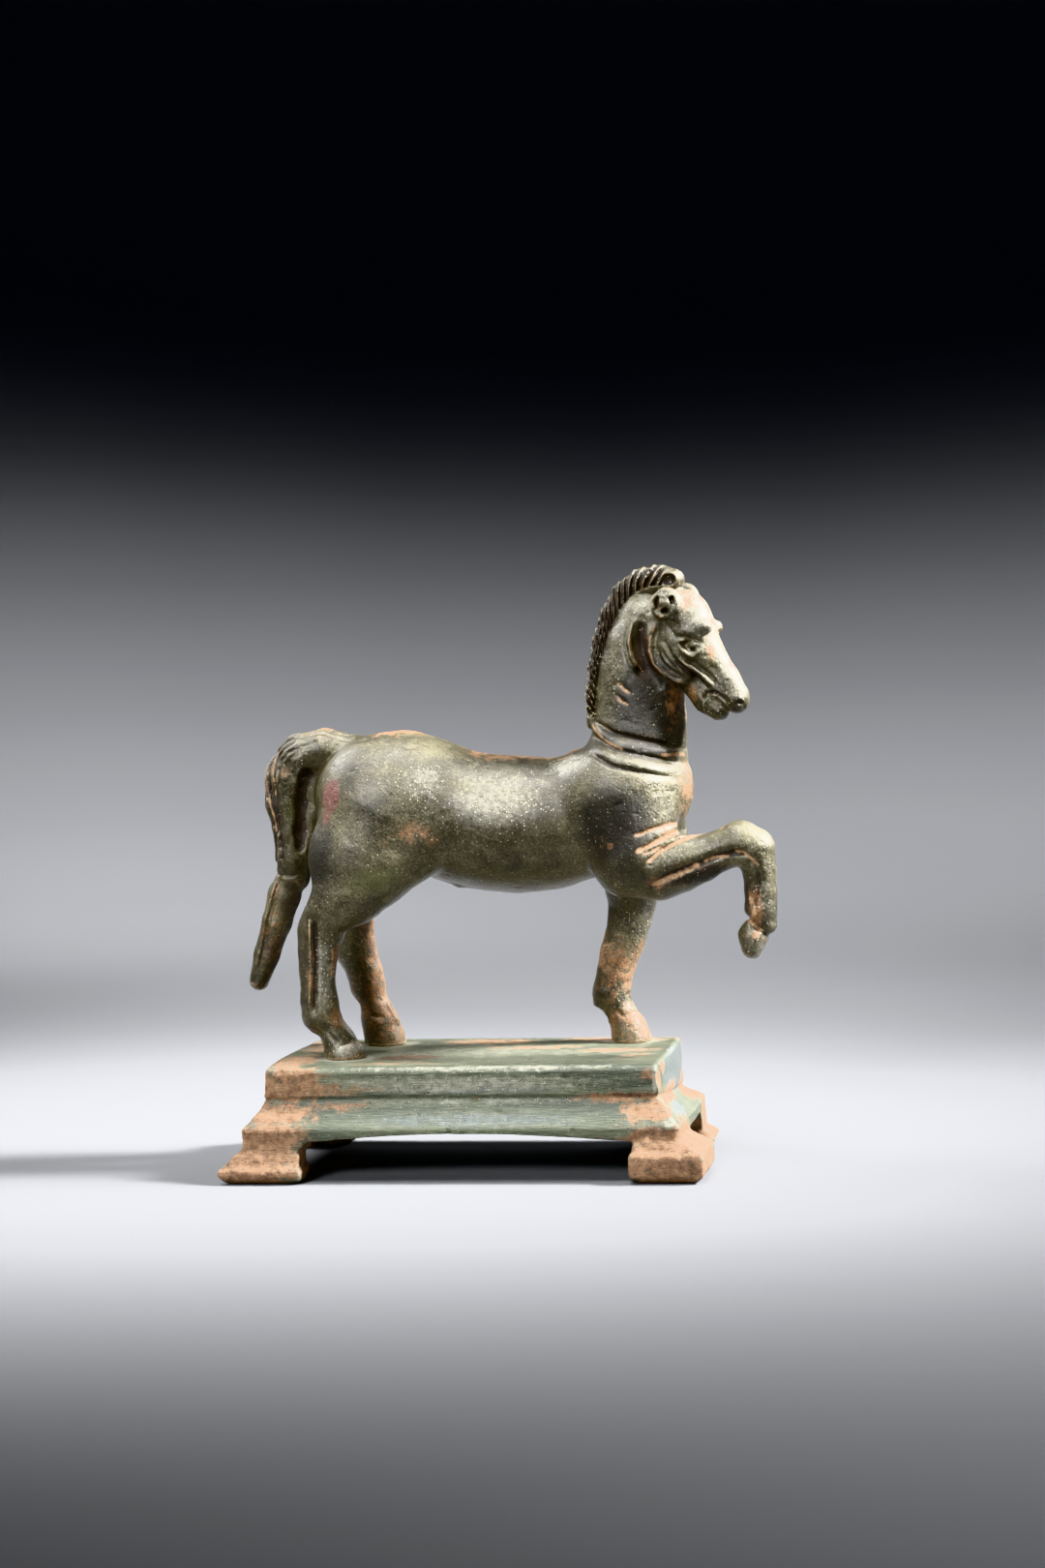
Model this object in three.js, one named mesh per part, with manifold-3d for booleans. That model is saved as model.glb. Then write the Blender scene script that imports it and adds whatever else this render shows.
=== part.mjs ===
// A small bronze horse on its own stepped plinth. Millimetres, +Z up, +X toward the head.
import * as THREE from "three";
import { SimplifyModifier } from "three/addons/modifiers/SimplifyModifier.js";
import { mergeVertices } from "three/addons/utils/BufferGeometryUtils.js";
import Module from "manifold-3d";

const wasm = await Module();
wasm.setup();

// Driving sizes. They are laid out from the middle of the plinth's underside, and the photograph
// looks from the -Y side. Limb rows are [x, y, z, half depth seen from the side, half width].
const PLATE_Z = 22; // top of the plinth, where the three hooves stand
const MID = 4; // the horse's middle plane lies a little behind the plinth's
const NEAR = -5; // plane of the legs on the viewer's side
const FAR = 14; // plane of the legs on the far side
const HORSE_POINTS = 4200; // corners kept in the horse's facets
const SOFT = 5; // how widely the big masses melt into each other
const HEAD_AT = [35.5, MID, 104]; // pivot of the head
const HEAD_TURN = THREE.MathUtils.degToRad(14); // the face is turned toward the viewer

const BARREL = [
  [-14, MID, 72.2, 13.6, 12.0],
  [-6.7, MID, 70.7, 12.9, 11.3],
  [-1.8, MID, 69.0, 12.7, 11.6],
  [4.1, MID, 67.7, 13.1, 12.2],
  [10, MID, 67.1, 13.2, 12.3],
  [16, MID, 67.1, 12.6, 12.0],
  [23, MID, 68.2, 11.6, 11.6],
];
const RUMP = [
  [-14, MID, 73, 13.4, 12.6],
  [-19.5, MID, 73.4, 12.6, 12.6],
];
const CHEST = [
  [30.5, MID, 70.5, 14.2, 12.6],
  [34.2, MID, 73.5, 10.6, 10.6],
];
const NECK = [
  [33.2, MID, 77, 11.2, 10.6],
  [34.4, MID, 82.1, 9.3, 8.8],
  [35.0, MID, 87, 8.8, 7.6],
  [35.1, MID, 92.6, 8.4, 7.0],
  [35.0, MID, 97, 7.6, 6.6],
  [35.2, MID, 101.5, 6.4, 6.0],
  [37.2, MID, 106.5, 6.0, 5.2],
];
const MANE = [
  [25.3, MID, 86.6, 1.0, 1.5],
  [25.5, MID, 92.5, 1.4, 1.7],
  [26.4, MID, 97.8, 1.6, 1.7],
  [28.0, MID, 103.1, 2.1, 1.8],
  [30.2, MID, 108.0, 2.6, 1.9],
  [33.0, MID, 111.9, 2.9, 2.0],
  [36.4, MID - 0.5, 114.0, 3.1, 2.1],
  [39.8, MID - 1.2, 114.4, 3.1, 2.2],
  [42.6, MID - 2, 114.2, 2.4, 2.2],
];
const HAUNCH = [
  [-17, -1.5, 70, 12.8, 8.6],
  [-21.3, -3, 61.6, 10.8, 7.4],
  [-23.8, -4.6, 55.3, 7.2, 5.6],
  [-26.9, NEAR, 52.0, 5.0, 4.4],
  [-28.9, NEAR, 49.6, 4.3, 3.7],
];
const STIFLE = [
  [-9, -3.2, 64.5, 7.0, 5.2],
  [-18, -4.2, 58, 5.5, 4.8],
  [-24, -4.8, 53.6, 3.9, 4.0],
];
const NEAR_SHANK = [
  [-28.9, NEAR, 50, 4.4, 3.6],
  [-29.8, NEAR, 47.4, 4.7, 3.4],
  [-30.5, NEAR, 43.5, 4.0, 3.0],
  [-30.9, NEAR, 39.8, 3.6, 2.8],
  [-30.9, NEAR, 36.2, 3.4, 2.8],
  [-30.7, NEAR, 33.3, 3.7, 3.0],
  [-30.4, NEAR, 30.6, 3.8, 3.2],
  [-28.4, NEAR, 28.0, 2.8, 2.8],
  [-27.0, NEAR, 25.4, 3.2, 3.2],
  [-25.8, NEAR, 22.4, 4.0, 3.7],
  [-25.4, NEAR, 20, 4.2, 3.9],
];
const FAR_HAUNCH = [
  [-20, 9.5, 70.5, 11.6, 8.6],
  [-26, 11, 62.5, 8.2, 7.4],
  [-29, 12.6, 55, 4.9, 5.2],
];
const FAR_SHANK = [
  [-29.6, FAR - 1, 53, 4.8, 4.8],
  [-28.6, FAR, 47.5, 4.6, 3.8],
  [-27.7, FAR, 41.2, 4.0, 3.2],
  [-26.1, FAR, 36.8, 3.6, 3.0],
  [-25.6, FAR, 34.0, 3.6, 3.0],
  [-24.8, FAR, 31.4, 2.9, 2.9],
  [-23.5, FAR, 28.6, 3.5, 3.3],
  [-22.5, FAR, 26.3, 3.9, 3.6],
  [-21.6, FAR, 22.8, 4.1, 3.8],
  [-21.2, FAR, 20, 4.2, 3.9],
];
const FAR_FORELEG = [
  [31.5, FAR - 2, 62, 8.6, 6.2],
  [30.8, FAR - 1, 53.4, 5.6, 4.8],
  [30.4, FAR, 50.0, 4.7, 4.0],
  [29.7, FAR, 46.7, 4.3, 3.6],
  [28.7, FAR, 42.7, 4.1, 3.4],
  [27.5, FAR, 39.8, 3.9, 3.3],
  [26.4, FAR, 35.9, 3.6, 3.2],
  [25.7, FAR, 32.4, 3.6, 3.2],
  [26.2, FAR, 29.4, 3.3, 3.1],
  [27.8, FAR, 27.0, 2.9, 3.0],
  [28.9, FAR, 24.7, 3.4, 3.4],
  [29.3, FAR, 22.4, 3.9, 3.8],
  [29.4, FAR, 20, 4.1, 3.9],
];
const SPUR = [
  [25.4, FAR, 32.6, 3.0, 2.4],
  [23.2, FAR, 30.6, 1.5, 1.5],
];
const SHOULDER = [
  [31, -2.5, 72, 11.5, 8.4],
  [34, -3.4, 62.5, 8.8, 7.0],
];
const RAISED_LEG = [
  [33.5, -4.2, 60.5, 8.4, 6.2],
  [38.7, NEAR, 58.4, 6.4, 5.0],
  [42.9, NEAR - 0.4, 59.1, 5.5, 4.4],
  [47.1, NEAR - 0.6, 59.9, 4.4, 3.9],
  [51.1, NEAR - 0.8, 61.4, 3.8, 3.5],
  [54.9, NEAR - 1, 62.7, 4.2, 3.6],
  [57.3, NEAR - 1, 61.5, 4.0, 3.6],
  [58.2, NEAR - 1, 57.6, 3.1, 3.1],
  [58.4, NEAR - 1, 53.4, 3.0, 2.8],
  [58.3, NEAR - 1, 49.8, 3.1, 2.9],
  [59.3, NEAR - 1, 46.9, 2.1, 2.4],
];
const RAISED_HOOF = [
  [57.4, NEAR - 1, 47.4, 1.9, 2.2],
  [56.5, NEAR - 1, 44.7, 2.6, 2.9],
  [56.2, NEAR - 1, 42.6, 1.9, 2.8],
];
const TAIL = [
  [-24, MID, 82.8, 3.6, 3.8],
  [-30, MID, 83.5, 4.3, 4.6],
  [-34.9, MID, 82.0, 5.1, 5.0],
  [-37.5, MID, 78.0, 5.3, 4.8],
  [-37.8, MID, 73.0, 4.9, 4.4],
  [-37.2, MID, 67.5, 4.2, 4.0],
  [-37.4, MID, 62.0, 3.9, 3.8],
  [-37.7, MID, 58.0, 3.5, 3.4],
];
const TAIL_WEB = [
  [-31.5, MID, 79, 3.2, 2.4],
  [-33.4, MID, 71, 3.0, 2.2],
  [-34.0, MID, 64.4, 1.8, 2.0],
];
const TAIL_END = [
  [-38.6, MID, 56.8, 3.1, 3.0],
  [-39.8, MID, 54.0, 3.3, 3.1],
  [-41.6, MID, 48.6, 3.0, 3.0],
  [-44.1, MID, 42.0, 2.6, 2.6],
  [-45.9, MID, 36.7, 2.0, 2.3],
];
// The head's own rows: x forward along the face's middle plane, z up, both from HEAD_AT.
const FACE = [
  [10.9, 0, -0.1, 5.0, 4.7],
  [13.5, 0, -5.7, 4.3, 3.9],
  [16.9, 0, -10.2, 3.6, 3.2],
  [19.2, 0, -12.9, 3.0, 2.9],
];
const JAW = [
  [9.4, 0, -7.6, 2.9, 2.6],
  [13.4, 0, -13.6, 2.3, 2.3],
  [16.0, 0, -15.7, 2.0, 2.1],
];
const THROAT = [
  [3.0, 6.2, 2.6, 1.3, 1.5],
  [2.1, 6.4, -2.5, 1.5, 1.8],
  [3.0, 6.0, -7.2, 1.3, 1.7],
  [5.4, 5.2, -10.2, 1.0, 1.4],
];
const EAR_NEAR = [6.7, -4.2, 5.6];
const EAR_FAR = [8.4, 3.6, 6.6];

const BODY_RINGS = [
  // z, half length, half width, corner radius
  [8.0, 42.4, 21.2, 1.6],
  [8.5, 42.8, 21.5, 1.8],
  [10.4, 42.8, 21.5, 1.8],
  [11.0, 42.3, 21.1, 1.6],
  [12.4, 41.2, 20.1, 1.5],
  [14.0, 39.8, 18.9, 1.4],
  [15.5, 38.9, 18.2, 1.3],
  [16.0, 38.3, 17.8, 1.3],
  [16.5, 38.9, 18.4, 1.4],
  [21.0, 38.5, 18.4, 1.4],
  [21.7, 38.2, 18.0, 1.2],
  [22.0, 37.8, 17.3, 1.0],
];
const HOLLOW_RINGS = [
  [-1, 38.6, 15.8, 3],
  [6, 38.2, 15.2, 2.6],
  [17.4, 34.2, 13.6, 2],
];
// Feet: side of the middle in x and y, height of the pad, height where the neck starts, where the
// pad starts in x and y, and where it ends in x and y.
const FEET = [
  [-1, -1, 3.1, 6.4, 30.9, 6, 47.4, 23.4],
  [1, -1, 5.6, 7.8, 33.2, 6, 47.3, 23.4],
  [-1, 1, 3.0, 5.6, 31.5, 11.5, 46.0, 22.6],
  [1, 1, 2.4, 4.2, 32.3, 11.5, 45.2, 22.6],
];
// The casting isn't quite square: its back edge runs out toward the tail end, and the step sinks
// along the head end toward the back. Sinking is set by height: height, how far.
const BACK_OUT = 2.6;
const BACK_SKEW = 0.03;
const SINK = [
  [0, 0],
  [8, 0.5],
  [10.9, 1.1],
  [15.6, 3.8],
  [17, 3.8],
  [21, 0.3],
  [22, 0],
];
const ARCH_RISE = 1.5; // the long lower edges rise a little in the middle

// Form: each function gives about how far a point lies outside a shape.

function egg(p, at, r) {
  const q = [p[0] - at[0], p[1] - at[1], p[2] - at[2]];
  const s = [q[0] / r[0], q[1] / r[1], q[2] / r[2]];
  const near = Math.sqrt(s[0] ** 2 + s[1] ** 2 + s[2] ** 2);
  const steep = Math.sqrt((s[0] / r[0]) ** 2 + (s[1] / r[1]) ** 2 + (s[2] / r[2]) ** 2);
  return steep < 1e-9 ? -Math.min(...r) : (near * (near - 1)) / steep;
}

function link(p, a, b) {
  const ux = b[0] - a[0];
  const uy = b[1] - a[1];
  const uz = b[2] - a[2];
  const square = ux * ux + uy * uy + uz * uz;
  const along = (p[0] - a[0]) * ux + (p[1] - a[1]) * uy + (p[2] - a[2]) * uz;
  const t = Math.min(1, Math.max(0, along / square));
  const qx = p[0] - a[0] - t * ux;
  const qy = p[1] - a[1] - t * uy;
  const qz = p[2] - a[2] - t * uz;
  const lean = uy / Math.sqrt(square);
  const run = (qx * ux + qy * uy + qz * uz) / Math.sqrt(square);
  const side = (qy - lean * run) / Math.sqrt(1 - lean * lean);
  const rest = Math.sqrt(Math.max(0, qx * qx + qy * qy + qz * qz - side * side));
  const deep = a[3] + t * (b[3] - a[3]);
  const wide = a[4] + t * (b[4] - a[4]);
  const near = Math.sqrt((rest / deep) ** 2 + (side / wide) ** 2);
  const steep = Math.sqrt((rest / deep ** 2) ** 2 + (side / wide ** 2) ** 2);
  return steep < 1e-9 ? -Math.min(deep, wide) : (near * (near - 1)) / steep;
}

function melt(a, b, k) {
  const h = Math.max(k - Math.abs(a - b), 0) / k;
  return Math.min(a, b) - (h ** 3 * k) / 6;
}

function carve(a, b, k) {
  return -melt(-a, b, k);
}

function limb(p, rows, k = 1.2) {
  let d = link(p, rows[0], rows[1]);
  for (let i = 1; i + 1 < rows.length; i++) d = melt(d, link(p, rows[i], rows[i + 1]), k);
  return d;
}

function mirrored(p) {
  return [p[0], 2 * MID - p[1], p[2]];
}

function inHead(p) {
  const dx = p[0] - HEAD_AT[0];
  const dy = p[1] - HEAD_AT[1];
  const c = Math.cos(HEAD_TURN);
  const s = Math.sin(HEAD_TURN);
  return [c * dx - s * dy, s * dx + c * dy, p[2] - HEAD_AT[2]];
}

function ear(h, at) {
  const side = Math.sign(at[1]);
  const cup = egg(h, at, [3.2, 1.7, 3.8]);
  return carve(cup, egg(h, [at[0], at[1] + side * 1.7, at[2] + 1.0], [2.0, 1.4, 3.2]), 0.4);
}

function head(p) {
  const h = inHead(p);
  const both = [h[0], Math.abs(h[1]), h[2]];
  let d = egg(h, [8.4, 0, 2.0], [6.6, 4.9, 6.6]);
  d = melt(d, limb(h, FACE), 1.5);
  d = melt(d, egg(h, [8.6, 0, -3.6], [4.4, 3.8, 5.0]), 2);
  d = melt(d, egg(both, [8.9, 2.9, -4.1], [5.3, 2.3, 5.9]), 1);
  d = melt(d, limb(h, JAW), 1);
  d = melt(d, egg(h, [19.8, 0, -13.8], [2.4, 2.9, 2.6]), 1);
  d = melt(d, egg(both, [13.9, 3.0, 0.7], [2.4, 1.7, 1.7]), 1);
  d = carve(d, egg(both, [12.6, 5.0, -2.6], [2.3, 1.5, 1.4]), 0.5);
  d = melt(d, egg(both, [12.5, 3.1, -3.1], [1.5, 1.3, 1.2]), 0.2);
  d = melt(d, limb(both, [[11, 3.7, -6.6, 0.9, 0.8], [16.6, 2.5, -10.6, 0.7, 0.7]]), 1);
  return melt(melt(d, ear(h, EAR_NEAR), 0.8), ear(h, EAR_FAR), 0.8);
}

// The hollow between the jaw's round edge and the neck.
function throat(p) {
  const h = inHead(p);
  return limb([h[0], Math.abs(h[1]), h[2]], THROAT);
}

// Two raised bands ring the foot of the neck: a swelling where slanted planes pass.
function neckBands(p) {
  const slant = (p[2] - 82.4) + 0.26 * (p[0] - 35);
  const back = Math.max(0, 31 - p[0]) * 0.35;
  return [0, -3.9].reduce((sum, at) => sum + Math.exp(-(((slant - back - at) / 1.1) ** 2)), 0);
}

function horse(p) {
  const m = mirrored(p);
  let d = melt(limb(p, BARREL, 3), limb(p, RUMP, 2), SOFT);
  d = melt(d, limb(p, CHEST, 2), SOFT);
  const near = melt(limb(p, HAUNCH, 2), limb(p, STIFLE, 1), 3);
  d = melt(d, Math.min(near, limb(p, FAR_HAUNCH, 2)), 2);
  d = melt(d, Math.min(limb(p, SHOULDER, 2), limb(m, SHOULDER, 2)), 3);
  d = melt(d, limb(p, NECK, 2) - 0.55 * neckBands(p), 4);
  d = melt(d, limb(p, MANE), 0.8);
  d = melt(carve(d, throat(p), 1.2), head(p), 0.8);
  d = melt(d, melt(limb(p, TAIL), limb(p, TAIL_WEB), 0.8), 1);
  d = melt(d, limb(p, TAIL_END), 0.5);
  d = melt(d, limb(p, NEAR_SHANK), 1.5);
  d = melt(d, limb(p, FAR_SHANK), 2);
  d = melt(d, melt(limb(p, FAR_FORELEG), limb(p, SPUR), 0.8), 2);
  d = melt(d, limb(p, RAISED_LEG), 2);
  d = melt(d, limb(p, RAISED_HOOF), 0.7);
  return Math.max(d, PLATE_Z - 1.2 - p[2]);
}

// Facets: one point in every lattice cell that the surface crosses, moved onto the surface.

function lines(from, ...spans) {
  const out = [from];
  for (const [to, step] of spans) {
    const n = Math.round((to - out.at(-1)) / step);
    const start = out.at(-1);
    for (let i = 1; i <= n; i++) out.push(start + ((to - start) * i) / n);
  }
  return out;
}

function ontoSurface(form, p) {
  const e = 0.05;
  for (let turn = 0; turn < 3; turn++) {
    const d = form(p);
    const g = [0, 1, 2].map((i) => (form(p.map((v, j) => v + (i === j ? e : 0))) - d) / e);
    const square = g[0] ** 2 + g[1] ** 2 + g[2] ** 2;
    if (square < 0.05) return p;
    const step = Math.max(-0.4, Math.min(0.4, d)) / square;
    p = p.map((v, i) => v - g[i] * step);
  }
  return p;
}

// True where the inside or the outside corners of a cell touch only across a diagonal.
function pinched(inside) {
  const spread = (want) => {
    const start = inside.indexOf(want);
    const seen = new Set([start]);
    const todo = [start];
    while (todo.length) {
      const n = todo.pop();
      for (const m of [n ^ 1, n ^ 2, n ^ 4])
        if (inside[m] === want && !seen.has(m)) {
          seen.add(m);
          todo.push(m);
        }
    }
    return start >= 0 && seen.size !== inside.filter((v) => v === want).length;
  };
  const crossed = [1, 2, 4].some((axis) => {
    const [u, v] = [1, 2, 4].filter((b) => b !== axis);
    return [0, axis].some((n) => {
      const [a, b, c, d] = [inside[n], inside[n | u], inside[n | u | v], inside[n | v]];
      return a === c && b === d && a !== b;
    });
  });
  return crossed || spread(true) || spread(false);
}

// Fills the pinched cells, so that the skin never touches itself along an edge or at a point.
function settle(value, at, X, Y, Z) {
  let changed = true;
  while (changed) {
    changed = false;
    for (let k = 0; k + 1 < Z.length; k++)
      for (let j = 0; j + 1 < Y.length; j++)
        for (let i = 0; i + 1 < X.length; i++) {
          const ids = [0, 1, 2, 3, 4, 5, 6, 7].map((n) => at(i + (n & 1), j + ((n >> 1) & 1), k + (n >> 2)));
          const inside = ids.map((id) => value[id] < 0);
          if (inside.every((v) => v === inside[0]) || !pinched(inside)) continue;
          const outer = ids.filter((id) => value[id] >= 0).sort((a, b) => value[a] - value[b]);
          value[outer[0]] = -0.02;
          changed = true;
        }
  }
}

async function skin(form, X, Y, Z) {
  const at = (i, j, k) => (k * Y.length + j) * X.length + i;
  const value = new Float64Array(X.length * Y.length * Z.length);
  Z.forEach((z, k) => Y.forEach((y, j) => X.forEach((x, i) => (value[at(i, j, k)] = form([x, y, z])))));
  settle(value, at, X, Y, Z);
  const points = [];
  const pointOf = new Map();
  for (let k = 0; k + 1 < Z.length; k++)
    for (let j = 0; j + 1 < Y.length; j++)
      for (let i = 0; i + 1 < X.length; i++) {
        const p = cellPoint(value, at, X, Y, Z, i, j, k);
        if (!p) continue;
        pointOf.set(at(i, j, k), points.length / 3);
        points.push(...ontoSurface(form, p));
      }
  const faces = [];
  const steps = [[1, 0, 0], [0, 1, 0], [0, 0, 1]];
  for (let k = 1; k + 1 < Z.length; k++)
    for (let j = 1; j + 1 < Y.length; j++)
      for (let i = 1; i + 1 < X.length; i++)
        steps.forEach((s, axis) => {
          const a = value[at(i, j, k)];
          const b = value[at(i + s[0], j + s[1], k + s[2])];
          if (a < 0 === b < 0) return;
          const u = steps[(axis + 1) % 3];
          const v = steps[(axis + 2) % 3];
          const back = (m, n) => at(i - m * u[0] - n * v[0], j - m * u[1] - n * v[1], k - m * u[2] - n * v[2]);
          const ring = [back(0, 0), back(1, 0), back(1, 1), back(0, 1)].map((c) => pointOf.get(c));
          if (b < 0) ring.reverse();
          const far = (m, n) => [0, 1, 2].reduce((sum, c) => sum + (points[3 * m + c] - points[3 * n + c]) ** 2, 0);
          if (far(ring[1], ring[3]) < far(ring[0], ring[2])) ring.push(ring.shift());
          faces.push(ring[0], ring[1], ring[2], ring[0], ring[2], ring[3]);
        });
  return thinned(points, faces);
}

// Joins facets where the form is plain, and keeps them where it turns.
async function thinned(points, faces) {
  const fine = new THREE.BufferGeometry();
  fine.setAttribute("position", new THREE.BufferAttribute(new Float32Array(points), 3));
  fine.setIndex(faces);
  const drop = points.length / 3 - HORSE_POINTS;
  const few = await new SimplifyModifier().modify(fine, drop);
  return solidOf(few.toNonIndexed());
}

function cellPoint(value, at, X, Y, Z, i, j, k) {
  const corner = (n) => [n & 1, (n >> 1) & 1, n >> 2];
  let count = 0;
  const sum = [0, 0, 0];
  for (let n = 0; n < 8; n++)
    for (const bit of [1, 2, 4]) {
      if (n & bit) continue;
      const [a, b] = [corner(n), corner(n | bit)];
      const da = value[at(i + a[0], j + a[1], k + a[2])];
      const db = value[at(i + b[0], j + b[1], k + b[2])];
      if (da < 0 === db < 0) continue;
      const t = da / (da - db);
      count += 1;
      sum[0] += X[i + a[0]] * (1 - t) + X[i + b[0]] * t;
      sum[1] += Y[j + a[1]] * (1 - t) + Y[j + b[1]] * t;
      sum[2] += Z[k + a[2]] * (1 - t) + Z[k + b[2]] * t;
    }
  return count ? sum.map((v) => v / count) : null;
}

// Solids for joining and cutting, and back to three.js geometry.

function solidFrom(points, faces) {
  const mesh = new wasm.Mesh({
    numProp: 3,
    vertProperties: new Float32Array(points),
    triVerts: new Uint32Array(faces),
  });
  return new wasm.Manifold(mesh);
}

function solidOf(geometry) {
  const plain = new THREE.BufferGeometry();
  plain.setAttribute("position", geometry.getAttribute("position"));
  const merged = mergeVertices(plain, 1e-4);
  return solidFrom(merged.attributes.position.array, merged.index.array);
}

function geometryOf(solid) {
  const { vertProperties, triVerts } = solid.getMesh();
  const geometry = new THREE.BufferGeometry();
  geometry.setAttribute("position", new THREE.BufferAttribute(vertProperties.slice(), 3));
  geometry.setIndex(new THREE.BufferAttribute(triVerts.slice(), 1));
  geometry.computeVertexNormals();
  return geometry;
}

// A stack of rounded rectangles: rows are [z, x from, x to, y from, y to, corner radius].
function stack(rows, sinks) {
  const points = [];
  const faces = [];
  const perCorner = 3;
  const around = 4 * (perCorner + 1);
  for (const [z, x0, x1, y0, y1, r] of rows)
    for (let c = 0; c < 4; c++)
      for (let s = 0; s <= perCorner; s++) {
        const angle = ((c + s / perCorner) * Math.PI) / 2;
        const cx = c === 0 || c === 3 ? x1 - r : x0 + r;
        const cy = c < 2 ? y1 - r : y0 + r;
        const at = [cx + r * Math.cos(angle), cy + r * Math.sin(angle), z];
        points.push(...uneven(sinks, at));
      }
  for (let k = 0; k + 1 < rows.length; k++)
    for (let i = 0; i < around; i++) {
      const a = k * around + i;
      const b = k * around + ((i + 1) % around);
      faces.push(a, b, b + around, a, b + around, a + around);
    }
  const top = (rows.length - 1) * around;
  for (let i = 1; i + 1 < around; i++) {
    faces.push(0, i + 1, i);
    faces.push(top, top + i, top + i + 1);
  }
  return solidFrom(points, faces);
}

function block(x0, x1, y0, y1, z0, z1) {
  const box = new THREE.BoxGeometry(x1 - x0, y1 - y0, z1 - z0);
  return solidOf(box.translate((x0 + x1) / 2, (y0 + y1) / 2, (z0 + z1) / 2).toNonIndexed());
}

// Where a point of an exactly square plinth lies on the real, slightly uneven one.
function uneven(sinks, [x, y, z]) {
  const part = (value, from, to) => Math.min(1, Math.max(0, (value - from) / (to - from)));
  let sink = 0;
  for (let k = 0; k + 1 < SINK.length; k++) {
    const [low, a] = SINK[k];
    const [high, b] = SINK[k + 1];
    if (z > low && z <= high) sink = a + ((b - a) * (z - low)) / (high - low);
  }
  const share = sinks ? part(x, 20, 38) * part(y, -18, 20) : 0;
  return [x, y + part(y, 0, 15) * (BACK_OUT - BACK_SKEW * x), z - share * sink];
}

// One foot: a rounded pad, a slope up from it, a neck, and a fillet into the block above.
function footSolid(sx, sy, pad, neck, inX, inY, outX, outY) {
  const rings = [
    [0, inX + 1.4, outX - 2, inY + 1.2, outY - 2],
    [1.5, inX, outX, inY, outY],
    [pad - 0.4, inX, outX, inY, outY],
    [pad + 0.2, inX + 0.5, outX - 0.6, inY + 0.5, outY - 0.6],
    [neck, inX + 0.6, 43.0, inY + 1.2, 21.6],
    [8.1, inX - 1.1, 42.8, inY - 0.6, 21.4],
    [8.9, inX - 2.9, 42.6, inY - 2.4, 21.2],
  ];
  const rows = rings.map(([z, xi, xo, yi, yo]) => {
    const [xa, xb] = sx > 0 ? [xi, xo] : [-xo, -xi];
    const [ya, yb] = sy > 0 ? [yi, yo] : [-yo, -yi];
    return [z, xa, xb, ya, yb, 1.5];
  });
  return stack(rows, true);
}

function plinth() {
  const centred = ([z, halfX, halfY, r]) => [z, -halfX, halfX, -halfY, halfY, r];
  let body = stack(BODY_RINGS.map(centred), true);
  const arch = new THREE.Shape();
  arch.moveTo(-30, 6);
  arch.lineTo(-30, 7.9);
  arch.quadraticCurveTo(0, 8 + 2 * ARCH_RISE, 30, 7.9);
  arch.lineTo(30, 6);
  const cut = new THREE.ExtrudeGeometry(arch, { depth: 64, bevelEnabled: false, curveSegments: 8 });
  body = body.subtract(solidOf(cut.rotateX(Math.PI / 2).translate(0, 32, 0)));
  for (const foot of FEET) body = body.add(footSolid(...foot));
  return body.subtract(stack(HOLLOW_RINGS.map(centred), false));
}

async function bronzeHorse() {
  const X = lines(-52, [-18, 1.3], [26, 1.7], [64, 0.9]);
  const Y = lines(-14, [22, 1.0]);
  const Z = lines(16, [50, 1.3], [76, 1.5], [119.6, 0.9]);
  const below = block(-60, 70, -30, 40, 10, PLATE_Z);
  const pieces = (await skin(horse, X, Y, Z)).subtract(below).decompose();
  pieces.sort((a, b) => b.volume() - a.volume());
  return pieces[0];
}

const looks = {
  horse: { color: "#5b5f45", roughness: 0.38, metalness: 0.85 },
  plinth: { color: "#6a6f5c", roughness: 0.5, metalness: 0.8 },
};
const part = new THREE.Group();
for (const [name, solid] of Object.entries({ horse: await bronzeHorse(), plinth: plinth() })) {
  const mesh = new THREE.Mesh(geometryOf(solid), new THREE.MeshStandardMaterial(looks[name]));
  mesh.name = name;
  part.add(mesh);
}

// The part's frame sits on the floor, in the middle of everything it covers.
const bounds = new THREE.Box3().setFromObject(part);
const middle = bounds.getCenter(new THREE.Vector3());
for (const mesh of part.children) mesh.geometry.translate(-middle.x, -middle.y, -bounds.min.z);

export default part;
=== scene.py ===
# A small bronze horse on its stepped bronze plinth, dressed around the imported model.
# Shapes are laid out in millimetres from the middle of the plinth's underside, +X toward the head
# and +Z up, and are put into the row frame, in metres, when each mesh is made.
import math

import bpy
import numpy as np
from mathutils import Matrix, Vector


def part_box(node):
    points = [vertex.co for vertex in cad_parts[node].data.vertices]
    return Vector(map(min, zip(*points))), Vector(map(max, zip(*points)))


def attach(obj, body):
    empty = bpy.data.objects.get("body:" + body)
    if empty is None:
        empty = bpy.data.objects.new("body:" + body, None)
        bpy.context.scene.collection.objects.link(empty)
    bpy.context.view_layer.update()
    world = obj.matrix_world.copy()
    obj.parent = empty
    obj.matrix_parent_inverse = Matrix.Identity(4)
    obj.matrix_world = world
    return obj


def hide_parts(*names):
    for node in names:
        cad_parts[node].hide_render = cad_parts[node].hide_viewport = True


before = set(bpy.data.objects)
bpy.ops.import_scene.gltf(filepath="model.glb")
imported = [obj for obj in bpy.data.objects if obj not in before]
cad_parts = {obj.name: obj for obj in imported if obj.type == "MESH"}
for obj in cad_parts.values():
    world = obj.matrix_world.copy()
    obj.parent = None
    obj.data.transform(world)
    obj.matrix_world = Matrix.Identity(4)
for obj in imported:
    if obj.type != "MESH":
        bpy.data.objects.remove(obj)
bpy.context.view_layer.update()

MM = 0.001

PLINTH_LOW, PLINTH_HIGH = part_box("plinth")
# The plinth isn't quite square, so its middle isn't the middle of its box.
ORIGIN = Vector((
    (PLINTH_LOW.x + PLINTH_HIGH.x) / 2 + 0.05 * MM,
    (PLINTH_LOW.y + PLINTH_HIGH.y) / 2 - 1.567 * MM,
    PLINTH_LOW.z,
))

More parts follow.
